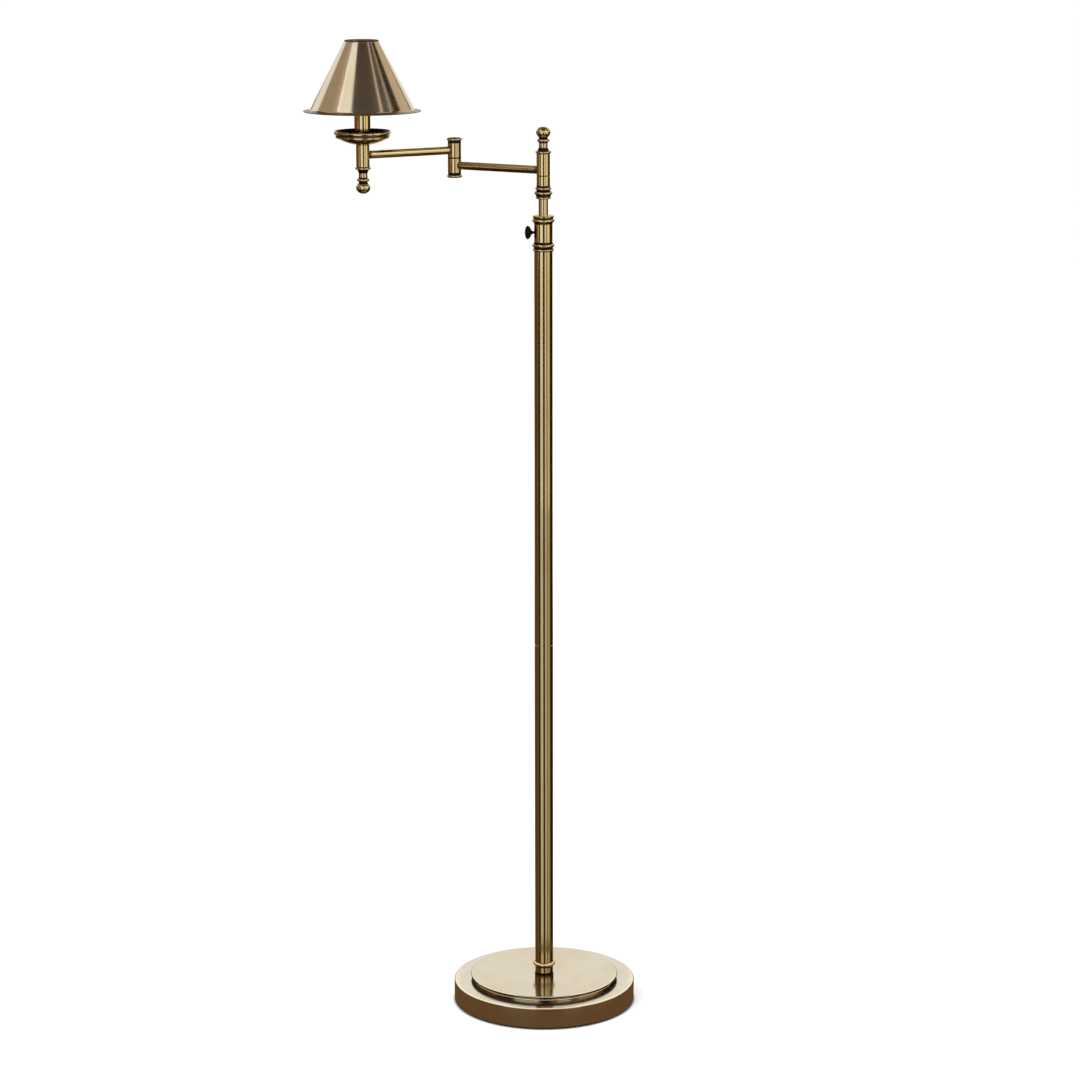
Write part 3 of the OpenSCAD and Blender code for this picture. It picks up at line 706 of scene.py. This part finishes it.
# %% Collar outline
stem_r = radius_of("stem_tube")
collar_h = top_of("height_collar") - collar_z
liner_r = stem_r + 2.15
ring_r = radius_of("height_collar")
lip_r = ring_r - 0.7
collar_outline = [
    (pole_r - 1.3, -20), (pole_r - 1.3, 0), *bead(ring_r - 0.9, 0.4, 4.4), (pole_r + 0.6, 4.6), (pole_r + 0.6, 7),
    *bead(ring_r, 7.2, 12.2), (pole_r, 12.4), (pole_r, collar_h - 11.6), (pole_r + 0.3, collar_h - 11),
    *bead(ring_r, collar_h - 10.8, collar_h - 5), (pole_r + 0.9, collar_h - 4.8), (pole_r + 0.9, collar_h - 4),
    *arc(lip_r + 1.4, collar_h - 3.6, 2.4, 175, 125, 8), (lip_r, collar_h - 1.2), (lip_r, collar_h - 0.6),
    (lip_r - 0.6, collar_h), (lip_r - 1.8, collar_h), (stem_r + 3.4, collar_h - 1.6), (liner_r, collar_h - 1.6),
    (liner_r, -20)]
collar_foot = POST + Vector((0, 0, collar_z * MM))
collar = turned("collar_turning", collar_outline, collar_foot)

# %% Cross hole for the screw
screw_low, screw_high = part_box("thumb_screw")
screw_z = (screw_low.z + screw_high.z) / 2
knob_r = (screw_high.z - screw_low.z) / 2 / MM
screw_r = 2.2
pad_low, pad_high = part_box("clamp_pad")
pad_r = (pad_high.z - pad_low.z) / 2 / MM
pad_back = -pad_low.x / MM
screw_travel = 1.6
pad_room = 0.4
hole_start = 5
for hole_r, hole_end in ((screw_r + 0.05, 19), (pad_r + 0.15, pad_back + screw_travel + pad_room)):
    middle = (hole_start + hole_end) / 2
    drill(collar, hole_r, hole_end - hole_start, (-middle * MM, 0, screw_z), ALONG_X)
print(f"room for a pad of {2 * pad_r:.1f} mm that moves back by {screw_travel} mm")
map_recesses(collar, collar_outline, collar_foot)
fit(collar, "stand", "height_collar", post_brass)

# %% [markdown]
# ## The thumb screw
# A finger and thumb tighten the stem with a small dark knob. Its face is a dome, and its
# back runs out to the screw like the bell of a trumpet. The lathe works along the screw's
# own axis here, which points to the left.

# %% Thumb screw
dark_brass = brass("dark_brass", (0.035, 0.021, 0.012), 0.20, centre=(0, 0, screw_z), axis=(1, 0, 0),
                   lean=(0, math.radians(90), 0), patina=0.9, brushed=0.2)
screw_in = -screw_high.x / MM
knob_face = -screw_low.x / MM
knob_dome = 4.6
knob_rim = knob_face - knob_dome
knob_outline = [
    (0, screw_in), (screw_r, screw_in), *arc(screw_r + 3, pole_r + 1.2, 3, 180, 115, 8),
    (knob_r * 0.72, knob_rim - 4.2), (knob_r * 0.88, knob_rim - 2.6), (knob_r - 0.1, knob_rim - 0.7),
    *oval(0, knob_rim, knob_r, knob_dome, 0, 90, 12)]
thumb_knob = turned("thumb_knob_turning", knob_outline, Vector((0, 0, screw_z)), "left", steps=64)
stain_and_shade(thumb_knob, Vector((0, 0, screw_z)), lambda r, z: True, 1.5)
fit(thumb_knob, "thumb_knob", "thumb_screw", dark_brass)

# %% [markdown]
# ## Stem and post swivel
# The stem slides in the collar and carries the lower half of the swivel: a small ring, a
# drum, a wide ring, a groove and a bead under the barrel. The upper half is a plain barrel
# with the inner arm brazed into it, and a finial closes it on top.

# %% Stem and lower knuckle
stem = turned("stem_tube_drawn", pipe_outline("stem_tube", stem_r, 1.3), POST, edge=0)
fit(stem, "stem", "stem_tube", tube_brass)

knuckle_h = top_of("lower_knuckle") - foot_of("lower_knuckle")
b = barrel_r
knuckle_outline = [
    (stem_r + 0.1, 0), (b, 0), *bead(b + 1.5, 0.3, 3.1), (b + 0.9, 3.4), (b + 1.1, 5.6), (b + 1.6, 6.6),
    *bead(b + 3.9, 7, 11.6), (b + 1.2, 12), (b - 0.1, 12.6), (b - 0.1, 13.8), *bead(b + 2.2, 14.2, 18.6),
    (b, 19), (b, knuckle_h - 0.3), (b - 0.3, knuckle_h), (ROD_BORE, knuckle_h), (ROD_BORE, 10.5), (stem_r + 0.1, 10.5)]
knuckle = turned("lower_knuckle_turning", knuckle_outline, at_foot("lower_knuckle"))
fit(knuckle, "stem", "lower_knuckle", post_brass)


# %% Barrels
def barrel(name, node, body, axis_place, bore_r, finish):
    z0, z1 = foot_of(node), top_of(node)
    outline = [(bore_r, z0), (b - 0.3, z0), (b, z0 + 0.3), (b, z1 - 0.3), (b - 0.3, z1), (bore_r, z1)]
    piece = turned(name, outline, axis_place, edge=0.1)
    stain_and_shade(piece, axis_place, lambda r, z: not z0 + 0.5 < z < z1 - 0.5, 0.7)
    fit(piece, body, node, finish)


barrel("post_barrel", "post_hub", "inner_arm", POST, SWIVEL_BORE, post_brass)

# %% [markdown]
# The same finial stands on the post and hangs under the lamp head: a flange, a slim neck, a
# bead, a groove and a slightly flattened ball. It is kept once as a list of points and spun
# twice, the second time downwards.

# %% Finials
def finial(name, foot, way):
    flange, ball, half_ball, ring, neck = 12.8, 11.6, 9.5, 10.3, 7.1
    start = math.degrees(math.asin(neck / ball))
    ball_z = 25.4 + half_ball * math.cos(math.radians(start))
    outline = [
        (ROD_BORE, 0), (b + 0.2, 0), (flange - 0.6, 0.6), (flange, 1.4), (flange, 2.9), (flange - 0.5, 3.4),
        *arc(flange - 0.9, 7, 3.6, 262, 190), (neck + 0.3, 8.6), (neck, 9.8),
        (neck, 11), (neck, 15.8), (neck, 17.2), (neck + 0.8, 17.8),
        *bead(ring, 18, 22.6), (neck, 23), *oval(0, ball_z, ball, half_ball, start - 90, 90, 28),
        (0, 14.9), (ROD_BORE, 13.9)]
    piece = turned(name, outline, foot, way)
    stain_and_shade(piece, foot, lambda r, z: 9.5 < z < 16.2 and r < neck + 1, 0.0, WAYS[way][1])
    return piece


post_finial = finial("post_finial_turning", at_foot("post_finial"), "up")
fit(post_finial, "stem", "post_finial", post_brass)
head_finial = finial("head_finial_turning", at_top("head_finial", HEAD), "down")
fit(head_finial, "outer_arm", "head_finial", head_brass)

# %% [markdown]
# ## Arms and elbow
# The arms are thin tubes that lie level, so the lathe first spins them upright on the
# origin, and then the whole mesh is turned and moved in edit mode. The object itself stays
# unturned, because the frame keeps every place in the mesh.

# %% Arm tubes
arm_r = 6.5
arm_wall = 1.2
reach = (ELBOW - POST).length / MM
arm_outline = [(arm_r - arm_wall, 6), (arm_r, 6), (arm_r, b + 0.6), (arm_r, b + 2.2), (arm_r, reach - b - 2.2),
               (arm_r, reach - b - 0.6), (arm_r, reach - 6), (arm_r - arm_wall, reach - 6)]


def lay_down(piece, start, toward, height):
    heading = math.atan2(toward.y - start.y, toward.x - start.x)
    edit_whole_mesh()
    bpy.ops.transform.rotate(value=-math.radians(90), orient_axis="Y", center_override=(0, 0, 0))
    bpy.ops.transform.rotate(value=-heading, orient_axis="Z", center_override=(0, 0, 0))
    bpy.ops.transform.translate(value=start + Vector((0, 0, height)))
    bpy.ops.object.mode_set(mode="OBJECT")
    return heading


def arm(name, node, body, start, toward):
    low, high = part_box(node)
    height = (low.z + high.z) / 2
    piece = turned(name, arm_outline, POST, edge=0, steps=64)
    stain_and_shade(piece, POST, lambda r, z: not b + 0.8 < z < reach - b - 0.8)
    heading = lay_down(piece, start, toward, height)
    direction = (math.cos(heading), math.sin(heading), 0)
    finish = brass(name + "_brass", YELLOW, 0.15, centre=(start.x, start.y, height), axis=direction,
                   lean=(0, math.radians(90), heading), contrast=0.06)
    fit(piece, body, node, finish)


arm("inner_arm_drawn", "inner_arm_tube", "inner_arm", POST, ELBOW)
arm("outer_arm_drawn", "outer_arm_tube", "outer_arm", ELBOW, HEAD)

# %% Elbow barrels and caps
barrel("elbow_lower_barrel", "elbow_lower_hub", "inner_arm", ELBOW, ROD_BORE, elbow_brass)
barrel("elbow_upper_barrel", "elbow_upper_hub", "outer_arm", ELBOW, SWIVEL_BORE, elbow_brass)


def cap(name, foot, way, dome):
    rim = 12.6
    outline = [
        (ROD_BORE, 0), (b, 0), (b - 0.5, 0.5), (b - 0.5, 1.8), (rim - 1.8, 2.6), *bead(rim, 3, 7.2),
        (rim - 3, 7.3 + dome * 0.5), (rim - 6, 7.3 + dome), (0, 7.3 + dome), (0, 5.4), (ROD_BORE, 5.4)]
    piece = turned(name, outline, foot, way)
    # The end faces are darkened as a painted dark reflection; the ring next to the barrel is patina at the joint.
    stain_and_shade(piece, foot, lambda r, z: z > 7.0 or z < 2.9, 1.2, WAYS[way][1])
    return piece


top_cap = cap("elbow_top_turning", at_foot("elbow_top_cap", ELBOW), "up", 0.3)
fit(top_cap, "inner_arm", "elbow_top_cap", elbow_brass)
bottom_cap = cap("elbow_bottom_turning", at_top("elbow_bottom_cap", ELBOW), "down", 0.6)
fit(bottom_cap, "inner_arm", "elbow_bottom_cap", elbow_brass)

# %% [markdown]
# ## The lamp head
# Barrel, pan and candle tube stand on one threaded nipple. The pan is spun from sheet: a
# flat seat, a round bowl, a short upright wall and a rim that is rolled over a wire. Its
# bowl is one arc, whose centre follows from the seat, the wall and the depth between them.

# %% Head barrel and drip pan
barrel("head_barrel", "head_hub", "outer_arm", HEAD, ROD_BORE, head_brass)

candle_r = radius_of("candle_tube")
pan_t = 1.2
roll_r = 3.4
pan_wall = 7.8
rim_r = radius_of("drip_pan") - roll_r
wall_r = rim_r + pan_t / 2
seat_r = candle_r + 1.2
rise = top_of("drip_pan") - foot_of("drip_pan") - roll_r
deep = rise - pan_wall
bowl_z = (deep ** 2 + wall_r ** 2 - seat_r ** 2) / (2 * deep)
bowl_r = math.hypot(seat_r, bowl_z)
inner_r = bowl_r - pan_t
inner_z = pan_t + math.sqrt(inner_r ** 2 - seat_r ** 2)


def bowl(centre_z, radius, first_r, last_r):
    first, last = [-math.degrees(math.acos(r / radius)) for r in (first_r, last_r)]
    return arc(0, centre_z, radius, first, last, 16)


pan_outline = [
    (ROD_BORE, 0), *bowl(bowl_z, bowl_r, seat_r, wall_r), *arc(rim_r, rise, roll_r, -80, 260, 28),
    *bowl(inner_z, inner_r, wall_r - pan_t, seat_r), (ROD_BORE, pan_t)]
pan_foot = at_foot("drip_pan", HEAD)
pan = turned("pan_spinning", pan_outline, pan_foot, edge=0, steps=128)
# Painted shade and painted dark reflection: the inside of the pan and its rolled back rim, under the shade, are made
# black.
stain_and_shade(pan, pan_foot, lambda r, z: r < rim_r + 0.8 and z > 1.0 + max(0, r - seat_r) * 0.55, 1.5)
fit(pan, "outer_arm", "drip_pan", pan_brass)

# %% Candle tube
candle = turned("candle_sleeve", pipe_outline("candle_tube", candle_r, 0.9), HEAD, edge=0.2)
fit(candle, "outer_arm", "candle_tube", candle_brass)

# %% [markdown]
# ## The shade
# The shade is a spun cone of thin brass. Its upper edge is turned in to carry the clip, and
# its lower edge flares out in a narrow lip that stiffens the sheet. The lip leaves the cone
# in a small fillet, because sheet that is spun over a former never folds sharply.

# %% Shade
shade_lip_r = radius_of("shade")
shade_t = 0.8
lip_drop = 2.0
cone_foot = foot_of("shade") + lip_drop + shade_t
shade_top = top_of("shade")
cone_r = shade_lip_r - 10.0
crown_r = 26.8
turn_in = 2.2
shade_outline = [
    (crown_r - turn_in, shade_top), (crown_r - 0.5, shade_top), (crown_r, shade_top - 0.5),
    (crown_r + 0.5, shade_top - 1.4), (crown_r + 0.85, shade_top - 2.0),
    (cone_r - 0.94, cone_foot + 1.8), (cone_r - 0.3, cone_foot + 0.75), (cone_r + 0.6, cone_foot + 0.1),
    (cone_r + 1.9, cone_foot - 0.33), (shade_lip_r - 1.5, cone_foot - lip_drop + 0.3),
    (shade_lip_r, cone_foot - lip_drop),
    (shade_lip_r, cone_foot - lip_drop - shade_t), (cone_r + 1.8, cone_foot - 1.16), (cone_r + 0.3, cone_foot - 0.75),
    (cone_r - 0.6, cone_foot), (cone_r - 1.8, cone_foot + 1.6), (crown_r - 0.9, shade_top - 1.4),
    (crown_r - 1.4, shade_top - shade_t), (crown_r - turn_in, shade_top - shade_t)]
shade = turned("shade_spinning", shade_outline, HEAD, edge=0.1, steps=192)
# Painted dark reflection: the upper face of the lip is made dark.
stain_and_shade(shade, HEAD, lambda r, z: z < cone_foot + 0.5 and r < shade_lip_r - 1.0, 0.7)
# Painted shade: the turned-in top edge, where the dark inside shows through the opening, is made black.
stain_and_shade(shade, HEAD, lambda r, z: z > shade_top - 1.2, 3.0)
fit(shade, "lamp_shade", "shade", shade_brass)

# %% [markdown]
# ## The bulb
# A clear candle bulb swells from its cap and runs out to a drawn tip. The glass has a real
# wall, because light bends twice in a wall and only once in a solid. Inside stand a glass
# foot, two lead wires and a coiled filament.

# %% Bulb glass
def glass(name):
    material, tree, bulb = new_material(name)
    place = own_place(tree)
    waves = noise(tree, place, 90.0, 1.0)
    dust = noise(tree, place, 1500.0, 3.0)
    fill(bulb, {"Base Color": (0.97, 0.96, 0.94, 1), "Roughness": calc(tree, "MULTIPLY", dust, 0.05),
                "Normal": bump(tree, waves, 0.05), "Transmission Weight": 1.0, "IOR": 1.5})
    return material


clear_glass = glass("clear_glass")
bulb_len = top_of("bulb_glass") - foot_of("bulb_glass")
bulb_r = radius_of("bulb_glass")
bulb_foot = at_foot("bulb_glass", HEAD)
neck_r = 6.8
swell = 30.0


def bulb_radius(h):
    if h < swell:
        return neck_r + (bulb_r - neck_r) * (1 - math.cos(math.pi * h / swell)) / 2
    return bulb_r * max(0.0, math.cos(math.pi / 2 * (h - swell) / (bulb_len - swell))) ** 0.8


bulb_steps = 36
glass_t = 0.9
heights = [bulb_len * i / bulb_steps for i in range(bulb_steps + 1)]
inner_share = (bulb_len - glass_t) / bulb_len
bulb_outline = [(bulb_radius(h), h) for h in heights[:-1]] + [(0, bulb_len), (0, bulb_len - glass_t)]
bulb_outline += [(bulb_radius(h) - glass_t, h * inner_share) for h in reversed(heights[:-3])]
bulb = turned("bulb_blown", [(max(0, r), h) for r, h in bulb_outline], bulb_foot, edge=0, steps=64)
fit(bulb, "outer_arm", "bulb_glass", clear_glass)

# %% [markdown]
# The glass foot is one more turning. A lead wire is a thin turned rod. The coil is a small
# hexagon that a Screw modifier winds upwards, which is quicker than bending a long wire.

# %% Foot, leads and filament
def wire_metal(name, colour, roughness):
    material, tree, metal = new_material(name)
    streak = noise(tree, own_place(tree), 3000.0)
    dark = tuple(0.8 * c for c in colour)
    fill(metal, {"Base Color": blend(tree, streak, (*dark, 1), (*colour, 1)), "Metallic": 1.0,
                 "Roughness": calc(tree, "MULTIPLY_ADD", streak, 0.1, roughness)})
    return material


lead_metal = wire_metal("lead_metal", (0.55, 0.52, 0.50), 0.25)
foot_outline = [(0, 0.6), (5.6, 0.6), (4.2, 4), (2.6, 9), (2.2, 16), (2.9, 19), (2.6, 21), (0, 21.6)]
bulb_stem = turned("bulb_stem", foot_outline, bulb_foot, edge=0.1, steps=32)
fit(bulb_stem, "outer_arm", None, clear_glass)
for side, offset in (("left", -1.4), ("right", 1.4)):
    rod_outline = [(0, 19), (0.25, 19), (0.25, 33 + offset * 5), (0, 33 + offset * 5)]
    rod = turned("lead_" + side, rod_outline, bulb_foot + Vector((offset * MM, 0, 0)), edge=0, steps=12)
    fit(rod, "outer_arm", None, lead_metal)

bpy.ops.object.select_all(action="DESELECT")
bpy.ops.mesh.primitive_circle_add(vertices=6, radius=0.16 * MM, location=(1.4 * MM, 0, 0),
                                  rotation=(math.radians(90), 0, 0))
filament = bpy.context.object
filament.name = "filament"
bpy.ops.object.transform_apply(location=True, rotation=True, scale=True)
bpy.ops.object.modifier_add(type="SCREW")
coil = filament.modifiers[-1]
coil.screw_offset = 1.15 * MM
coil.iterations = 12
coil.steps = coil.render_steps = 16
bpy.ops.object.modifier_apply(modifier=coil.name)
edit_whole_mesh()
bpy.ops.mesh.remove_doubles(threshold=1e-6)
bpy.ops.mesh.select_non_manifold(extend=False)
bpy.ops.mesh.edge_face_add()
bpy.ops.mesh.select_all(action="SELECT")
bpy.ops.mesh.normals_make_consistent(inside=False)
bpy.ops.transform.translate(value=bulb_foot + Vector((0, 0, 26 * MM)))
bpy.ops.object.mode_set(mode="OBJECT")
bpy.ops.object.shade_smooth_by_angle(angle=math.radians(70))
fit(filament, "outer_arm", None, lead_metal)

# %% [markdown]
# ## Pieces that stay as they are
# Nuts, washers, tubes inside tubes, the holder and the clip have the right shape already
# in the frame. They only need a finish: zinc plate, moulded plastic, cast iron, drawn wire.
# One recipe covers them, with a coarse and a fine noise that vary tone, gloss and surface.

# %% A finish for frame nodes
def plain_finish(name, colour, metallic, roughness, grain, depth, contrast=0.25):
    material, tree, body = new_material(name)
    place = own_place(tree)
    coarse = noise(tree, place, grain / 8, 3.0)
    fine = noise(tree, place, grain, 3.0)
    mixed = calc(tree, "MULTIPLY_ADD", fine, 0.5, calc(tree, "MULTIPLY", coarse, 0.5))
    dark = tuple(c * (1 - contrast) for c in colour)
    light = tuple(min(1, c * (1 + contrast)) for c in colour)
    fill(body, {"Base Color": blend(tree, mixed, (*dark, 1), (*light, 1)), "Metallic": metallic,
                "Roughness": calc(tree, "MULTIPLY_ADD", mixed, 0.15, roughness - 0.07),
                "Normal": bump(tree, mixed, depth)})
    return material


recipes = {
    "ballast_iron": ((0.075, 0.075, 0.08), 0.6, 0.65, 700, 0.25, 0.4),
    "plain_steel": ((0.56, 0.56, 0.58), 1.0, 0.30, 1500, 0.01),
    "clip_wire": ((0.60, 0.56, 0.46), 1.0, 0.24, 2500, 0.01),
    "black_plastic": ((0.020, 0.020, 0.021), 0.0, 0.48, 2500, 0.02),
    "ivory_plastic": ((0.76, 0.71, 0.58), 0.0, 0.42, 1200, 0.01, 0.06),
    "bakelite": ((0.022, 0.016, 0.014), 0.0, 0.22, 300, 0.01, 0.4),
    "contact_brass": ((0.72, 0.58, 0.30), 1.0, 0.22, 1500, 0.005, 0.15)}
finishes = {name: plain_finish(name, *recipe) for name, recipe in recipes.items()}
slots = {part["node"]: part["material_slot"] for part in frame["record"]["subparts"]}
dressed = 0
for name, node in frame["nodes"].items():
    if node.hide_render:
        continue
    node.data.materials.clear()
    node.data.materials.append(finishes[slots[name]])
    dressed += 1
print(dressed, "frame nodes have a new finish")

# %% [markdown]
# ## Floor and light
# Polished metal shows its surroundings more than its own colour, so the studio is built
# for the reflections. Everything round the lamp is white, as in a light tent, and a few
# dark cards stand in it. Each card draws one dark stripe down every tube. The camera, the
# floor and soft light don't see the cards; only glossy rays do. The floor looks white, but
# to glossy rays it is brown close to the lamp, which warms the undersides of the arms.

# %% Light helpers
def emitter(tree, colour, strength=1.0):
    node = tree.nodes.new("ShaderNodeEmission")
    fill(node, {"Color": colour, "Strength": strength})
    return node.outputs[0]


def mix_shaders(tree, amount, first, second):
    node = tree.nodes.new("ShaderNodeMixShader")
    fill(node, {0: amount, 1: first, 2: second})
    return node.outputs[0]


def bare_material(name):
    paint = bpy.data.materials.new(name)
    paint.use_nodes = True
    paint.node_tree.nodes.clear()
    return paint, paint.node_tree, paint.node_tree.nodes.new("ShaderNodeOutputMaterial").inputs["Surface"]


# %% Floor
FLOOR_GLOW = 0.52
SEEN_AT_FOOT = (0.115, 0.066, 0.028, 1)
SEEN_NEAR = (0.17, 0.112, 0.068, 1)
SEEN_BELOW = (0.030, 0.012, 0.005, 1)
SEEN_FAR = (1, 0.97, 0.93, 1)
RAMP_LENGTH = 4.0
GLOW_EDGE = 3 * MM
FLOOR_R = 60
floor_tones = [(0.08, SEEN_AT_FOOT), (0.11, SEEN_NEAR), (0.16, SEEN_NEAR), (0.21, SEEN_BELOW),
               (0.66, SEEN_BELOW), (0.84, SEEN_FAR)]

bpy.ops.object.select_all(action="DESELECT")
bpy.ops.mesh.primitive_circle_add(vertices=64, radius=FLOOR_R, fill_type="NGON", location=(0, 0, 0))
floor = bpy.context.object
floor.name = "floor"
floor_paint, tree, surface = bare_material("floor_paint")
rays = light_path(tree)
matt = tree.nodes.new("ShaderNodeBsdfDiffuse")
matt.inputs["Color"].default_value = (0.85, 0.85, 0.85, 1)
distance = vector_calc(tree, "LENGTH", own_place(tree))
outside = tree.nodes.new("ShaderNodeMapRange")
fill(outside, {"Value": distance, "From Min": cover_r * MM, "From Max": cover_r * MM + GLOW_EDGE,
               "To Max": FLOOR_GLOW})
glow = emitter(tree, (1, 1, 1, 1), calc(tree, "MULTIPLY", rays["Is Camera Ray"], outside.outputs["Result"]))
seen = tree.nodes.new("ShaderNodeAddShader")
fill(seen, {0: matt.outputs[0], 1: glow})
ramp = tree.nodes.new("ShaderNodeValToRGB")
put(calc(tree, "DIVIDE", distance, RAMP_LENGTH), ramp.inputs["Fac"])
stops = ramp.color_ramp.elements
for position, colour in floor_tones:
    stops.new(position).color = colour
stops[0].color = SEEN_AT_FOOT
stops[-1].color = (1, 1, 1, 1)
glossy = calc(tree, "MAXIMUM", rays["Is Glossy Ray"], rays["Is Transmission Ray"])
put(mix_shaders(tree, glossy, seen.outputs[0], emitter(tree, ramp.outputs["Color"])), surface)
floor.data.materials.append(floor_paint)


# %% [markdown]
# A card is a piece of a wide cylinder round the lamp. It is made like any turning: one
# point is extruded upwards to a line, and the line is spun through the card's width. The
# low cards have a second face: to a ray that climbs steeply straight from the metal they
# are white. The flat foot sees that white and stays bright, while the tubes, and the mirror
# image of the pole in the foot, keep their dark stripes.

# %% Cards
STEEP_RAY = -0.12
FIRST_HIT = 1.5
CARD_STEP = 5
cards = []


def only_reflected(piece, tone, low=False):
    for ray_kind in ("camera", "diffuse", "transmission", "shadow"):
        setattr(piece, "visible_" + ray_kind, False)
    paint, tree, surface = bare_material(piece.name)
    ray = light_path(tree)
    incoming = split_xyz(tree, tree.nodes.new("ShaderNodeNewGeometry").outputs["Incoming"])
    from_below = calc(tree, "LESS_THAN", incoming["Z"], STEEP_RAY)
    direct = calc(tree, "LESS_THAN", ray["Ray Depth"], FIRST_HIT)
    passed = calc(tree, "MULTIPLY", calc(tree, "MULTIPLY", from_below, direct), 1.0 if low else 0.0)
    put(mix_shaders(tree, passed, emitter(tree, (*tone, 1)), emitter(tree, (1, 1, 1, 1))), surface)
    piece.data.materials.append(paint)
    cards.append(piece)


def card(name, azimuth, z0, z1, distance, tone, centre=POST, low=False):
    start, end = azimuth
    angle = math.radians(end)
    foot = centre + Vector((distance * math.sin(angle), -distance * math.cos(angle), z0))
    piece = first_point(name, foot)
    draw_line([foot, foot + Vector((0, 0, z1 - z0))])
    bpy.ops.mesh.select_all(action="SELECT")
    steps = max(2, round((end - start) / CARD_STEP))
    bpy.ops.mesh.spin(steps=steps, angle=math.radians(end - start), center=centre, axis=UP)
    bpy.ops.object.mode_set(mode="OBJECT")
    only_reflected(piece, tone, low)


# %% Stripes of the tubes
# azimuth from the front, to the right, in degrees, the tone of the card, and its share
# low down and round the foot
stripes = [
    ("left_back", (-150, -118), (0.12, 0.070, 0.042), 1, 1), ("left", (-118, -82), (0.12, 0.060, 0.018), 1, 1),
    ("left_line", (-82, -70), (0.21, 0.13, 0.07), 1, 1), ("left_near", (-70, -40), (0.040, 0.022, 0.016), 1, 1),
    ("bright_left", (-40, -7), (0.82, 0.80, 0.81), 1, 0.75), ("front", (-7, 9), (0.008, 0.004, 0.004), 1, 1),
    ("front_edge", (9, 18), (0.18, 0.13, 0.10), 1, 1), ("bright_middle", (18, 36), (0.80, 0.78, 0.80), 1, 0.8),
    ("front_right", (36, 47), (0.14, 0.10, 0.085), 1, 1), ("right_middle", (47, 61), (0.80, 0.68, 0.49), 0.7, 0.6),
    ("bright_right", (61, 79), (0.86, 0.71, 0.48), 1, 0.5), ("right_edge", (79, 90), (0.16, 0.10, 0.05), 1, 1),
    ("right", (90, 150), (0.020, 0.012, 0.010), 1, 1)]
UPPER_GAIN = 1.3
NEAR_DISTANCE = 0.30
FAR_DISTANCE = 2.0
for name, azimuth, tone, low_share, foot_share in stripes:
    card("near_" + name, azimuth, 0.0, 0.78, NEAR_DISTANCE, [foot_share * value for value in tone], low=True)
    card("far_" + name, azimuth, 0.30, 1.0, FAR_DISTANCE, [low_share * value for value in tone], low=True)
    card("upper_" + name, azimuth, 1.0, 1.75, FAR_DISTANCE, [UPPER_GAIN * value for value in tone])
card("arm_line", (-67, -61), 1.04, 1.32, 1.9, (1.35, 1.08, 0.70))
card("arm_window", (50, 72), 1.75, 3.05, 1.9, (1.25, 1.25, 1.3))
card("arm_top", (-80, -50), 1.80, 2.5, 1.7, (0.20, 0.14, 0.07))

# %% Stripes of the shade
HEAD_DISTANCE = 1.8
OVERHEAD_PLACE = (-0.14, 0, 5.2)
OVERHEAD_R = 1.9
high_stripes = [
    ("high_edge", (-178, -168), 1.20, 1.75, (0.42, 0.33, 0.20)),
    ("high_left", (-119, -80), 1.75, 3.35, (0.33, 0.265, 0.21)),
    ("high_left_near", (-80, -64), 2.4, 3.5, (0.43, 0.35, 0.28)),
    ("high_line_left", (-65, -60), 2.4, 4.0, (1.35, 1.35, 1.4)),
    ("high_bright", (-60, -27), 2.7, 5.0, (0.84, 0.82, 0.82)),
    ("over_left", (-165, -60), 3.5, 5.0, (0.32, 0.23, 0.13)),
    ("high_front", (-27, 52), 2.9, 5.4, (0.052, 0.036, 0.030)),
    ("high_line_front", (52, 59), 2.7, 5.0, (0.52, 0.42, 0.38)),
    ("high_right", (59, 78), 2.75, 3.7, (0.022, 0.012, 0.006)),
    ("high_line_right", (78, 85), 2.5, 3.7, (0.34, 0.27, 0.24)),
    ("high_right_far", (85, 106), 2.2, 3.7, (0.018, 0.010, 0.004)),
    ("high_light", (105, 139), 1.85, 3.2, (0.52, 0.43, 0.35)),
    ("back_left", (-178, -119), 2.4, 4.8, (0.10, 0.06, 0.03)),
    ("back_right", (106, 178), 3.2, 4.8, (0.08, 0.045, 0.02)),
    ("high_line", (139, 145), 1.80, 2.4, (0.15, 0.11, 0.08)),
    ("over_right", (60, 102), 3.7, 5.0, (0.50, 0.42, 0.30))]
for name, azimuth, z0, z1, tone in high_stripes:
    card(name, azimuth, z0, z1, HEAD_DISTANCE, tone, HEAD)

bpy.ops.object.select_all(action="DESELECT")
bpy.ops.mesh.primitive_circle_add(vertices=48, radius=OVERHEAD_R, fill_type="NGON", location=OVERHEAD_PLACE)
overhead = bpy.context.object
overhead.name = "overhead"
only_reflected(overhead, (0.12, 0.075, 0.04))
print(len(cards), "cards")

# %% World and lamps
world = bpy.data.worlds.new("studio")
bpy.context.scene.world = world
world.use_nodes = True
tree = world.node_tree
tree.nodes.clear()
WORLD_LIGHT = 0.75
rays = light_path(tree)
shown = calc(tree, "MAXIMUM", rays["Is Camera Ray"],
             calc(tree, "MAXIMUM", rays["Is Glossy Ray"], rays["Is Transmission Ray"]))
sky = tree.nodes.new("ShaderNodeBackground")
put(calc(tree, "MULTIPLY_ADD", shown, 1.0 - WORLD_LIGHT, WORLD_LIGHT), sky.inputs["Strength"])
put(sky.outputs[0], tree.nodes.new("ShaderNodeOutputWorld").inputs["Surface"])

KEY_PLACE = (-1.6, -2.2, 3.4)
KEY_TARGET = Vector((0, 0, 0.6))
KEY_SIZE = 1.6
KEY_POWER = 45
bpy.ops.object.light_add(type="AREA", location=KEY_PLACE)
key = bpy.context.object
key.name = "key_light"
key.data.size = KEY_SIZE
key.data.energy = KEY_POWER
key.rotation_euler = (KEY_TARGET - key.location).to_track_quat("-Z", "Y").to_euler()
key.visible_glossy = False
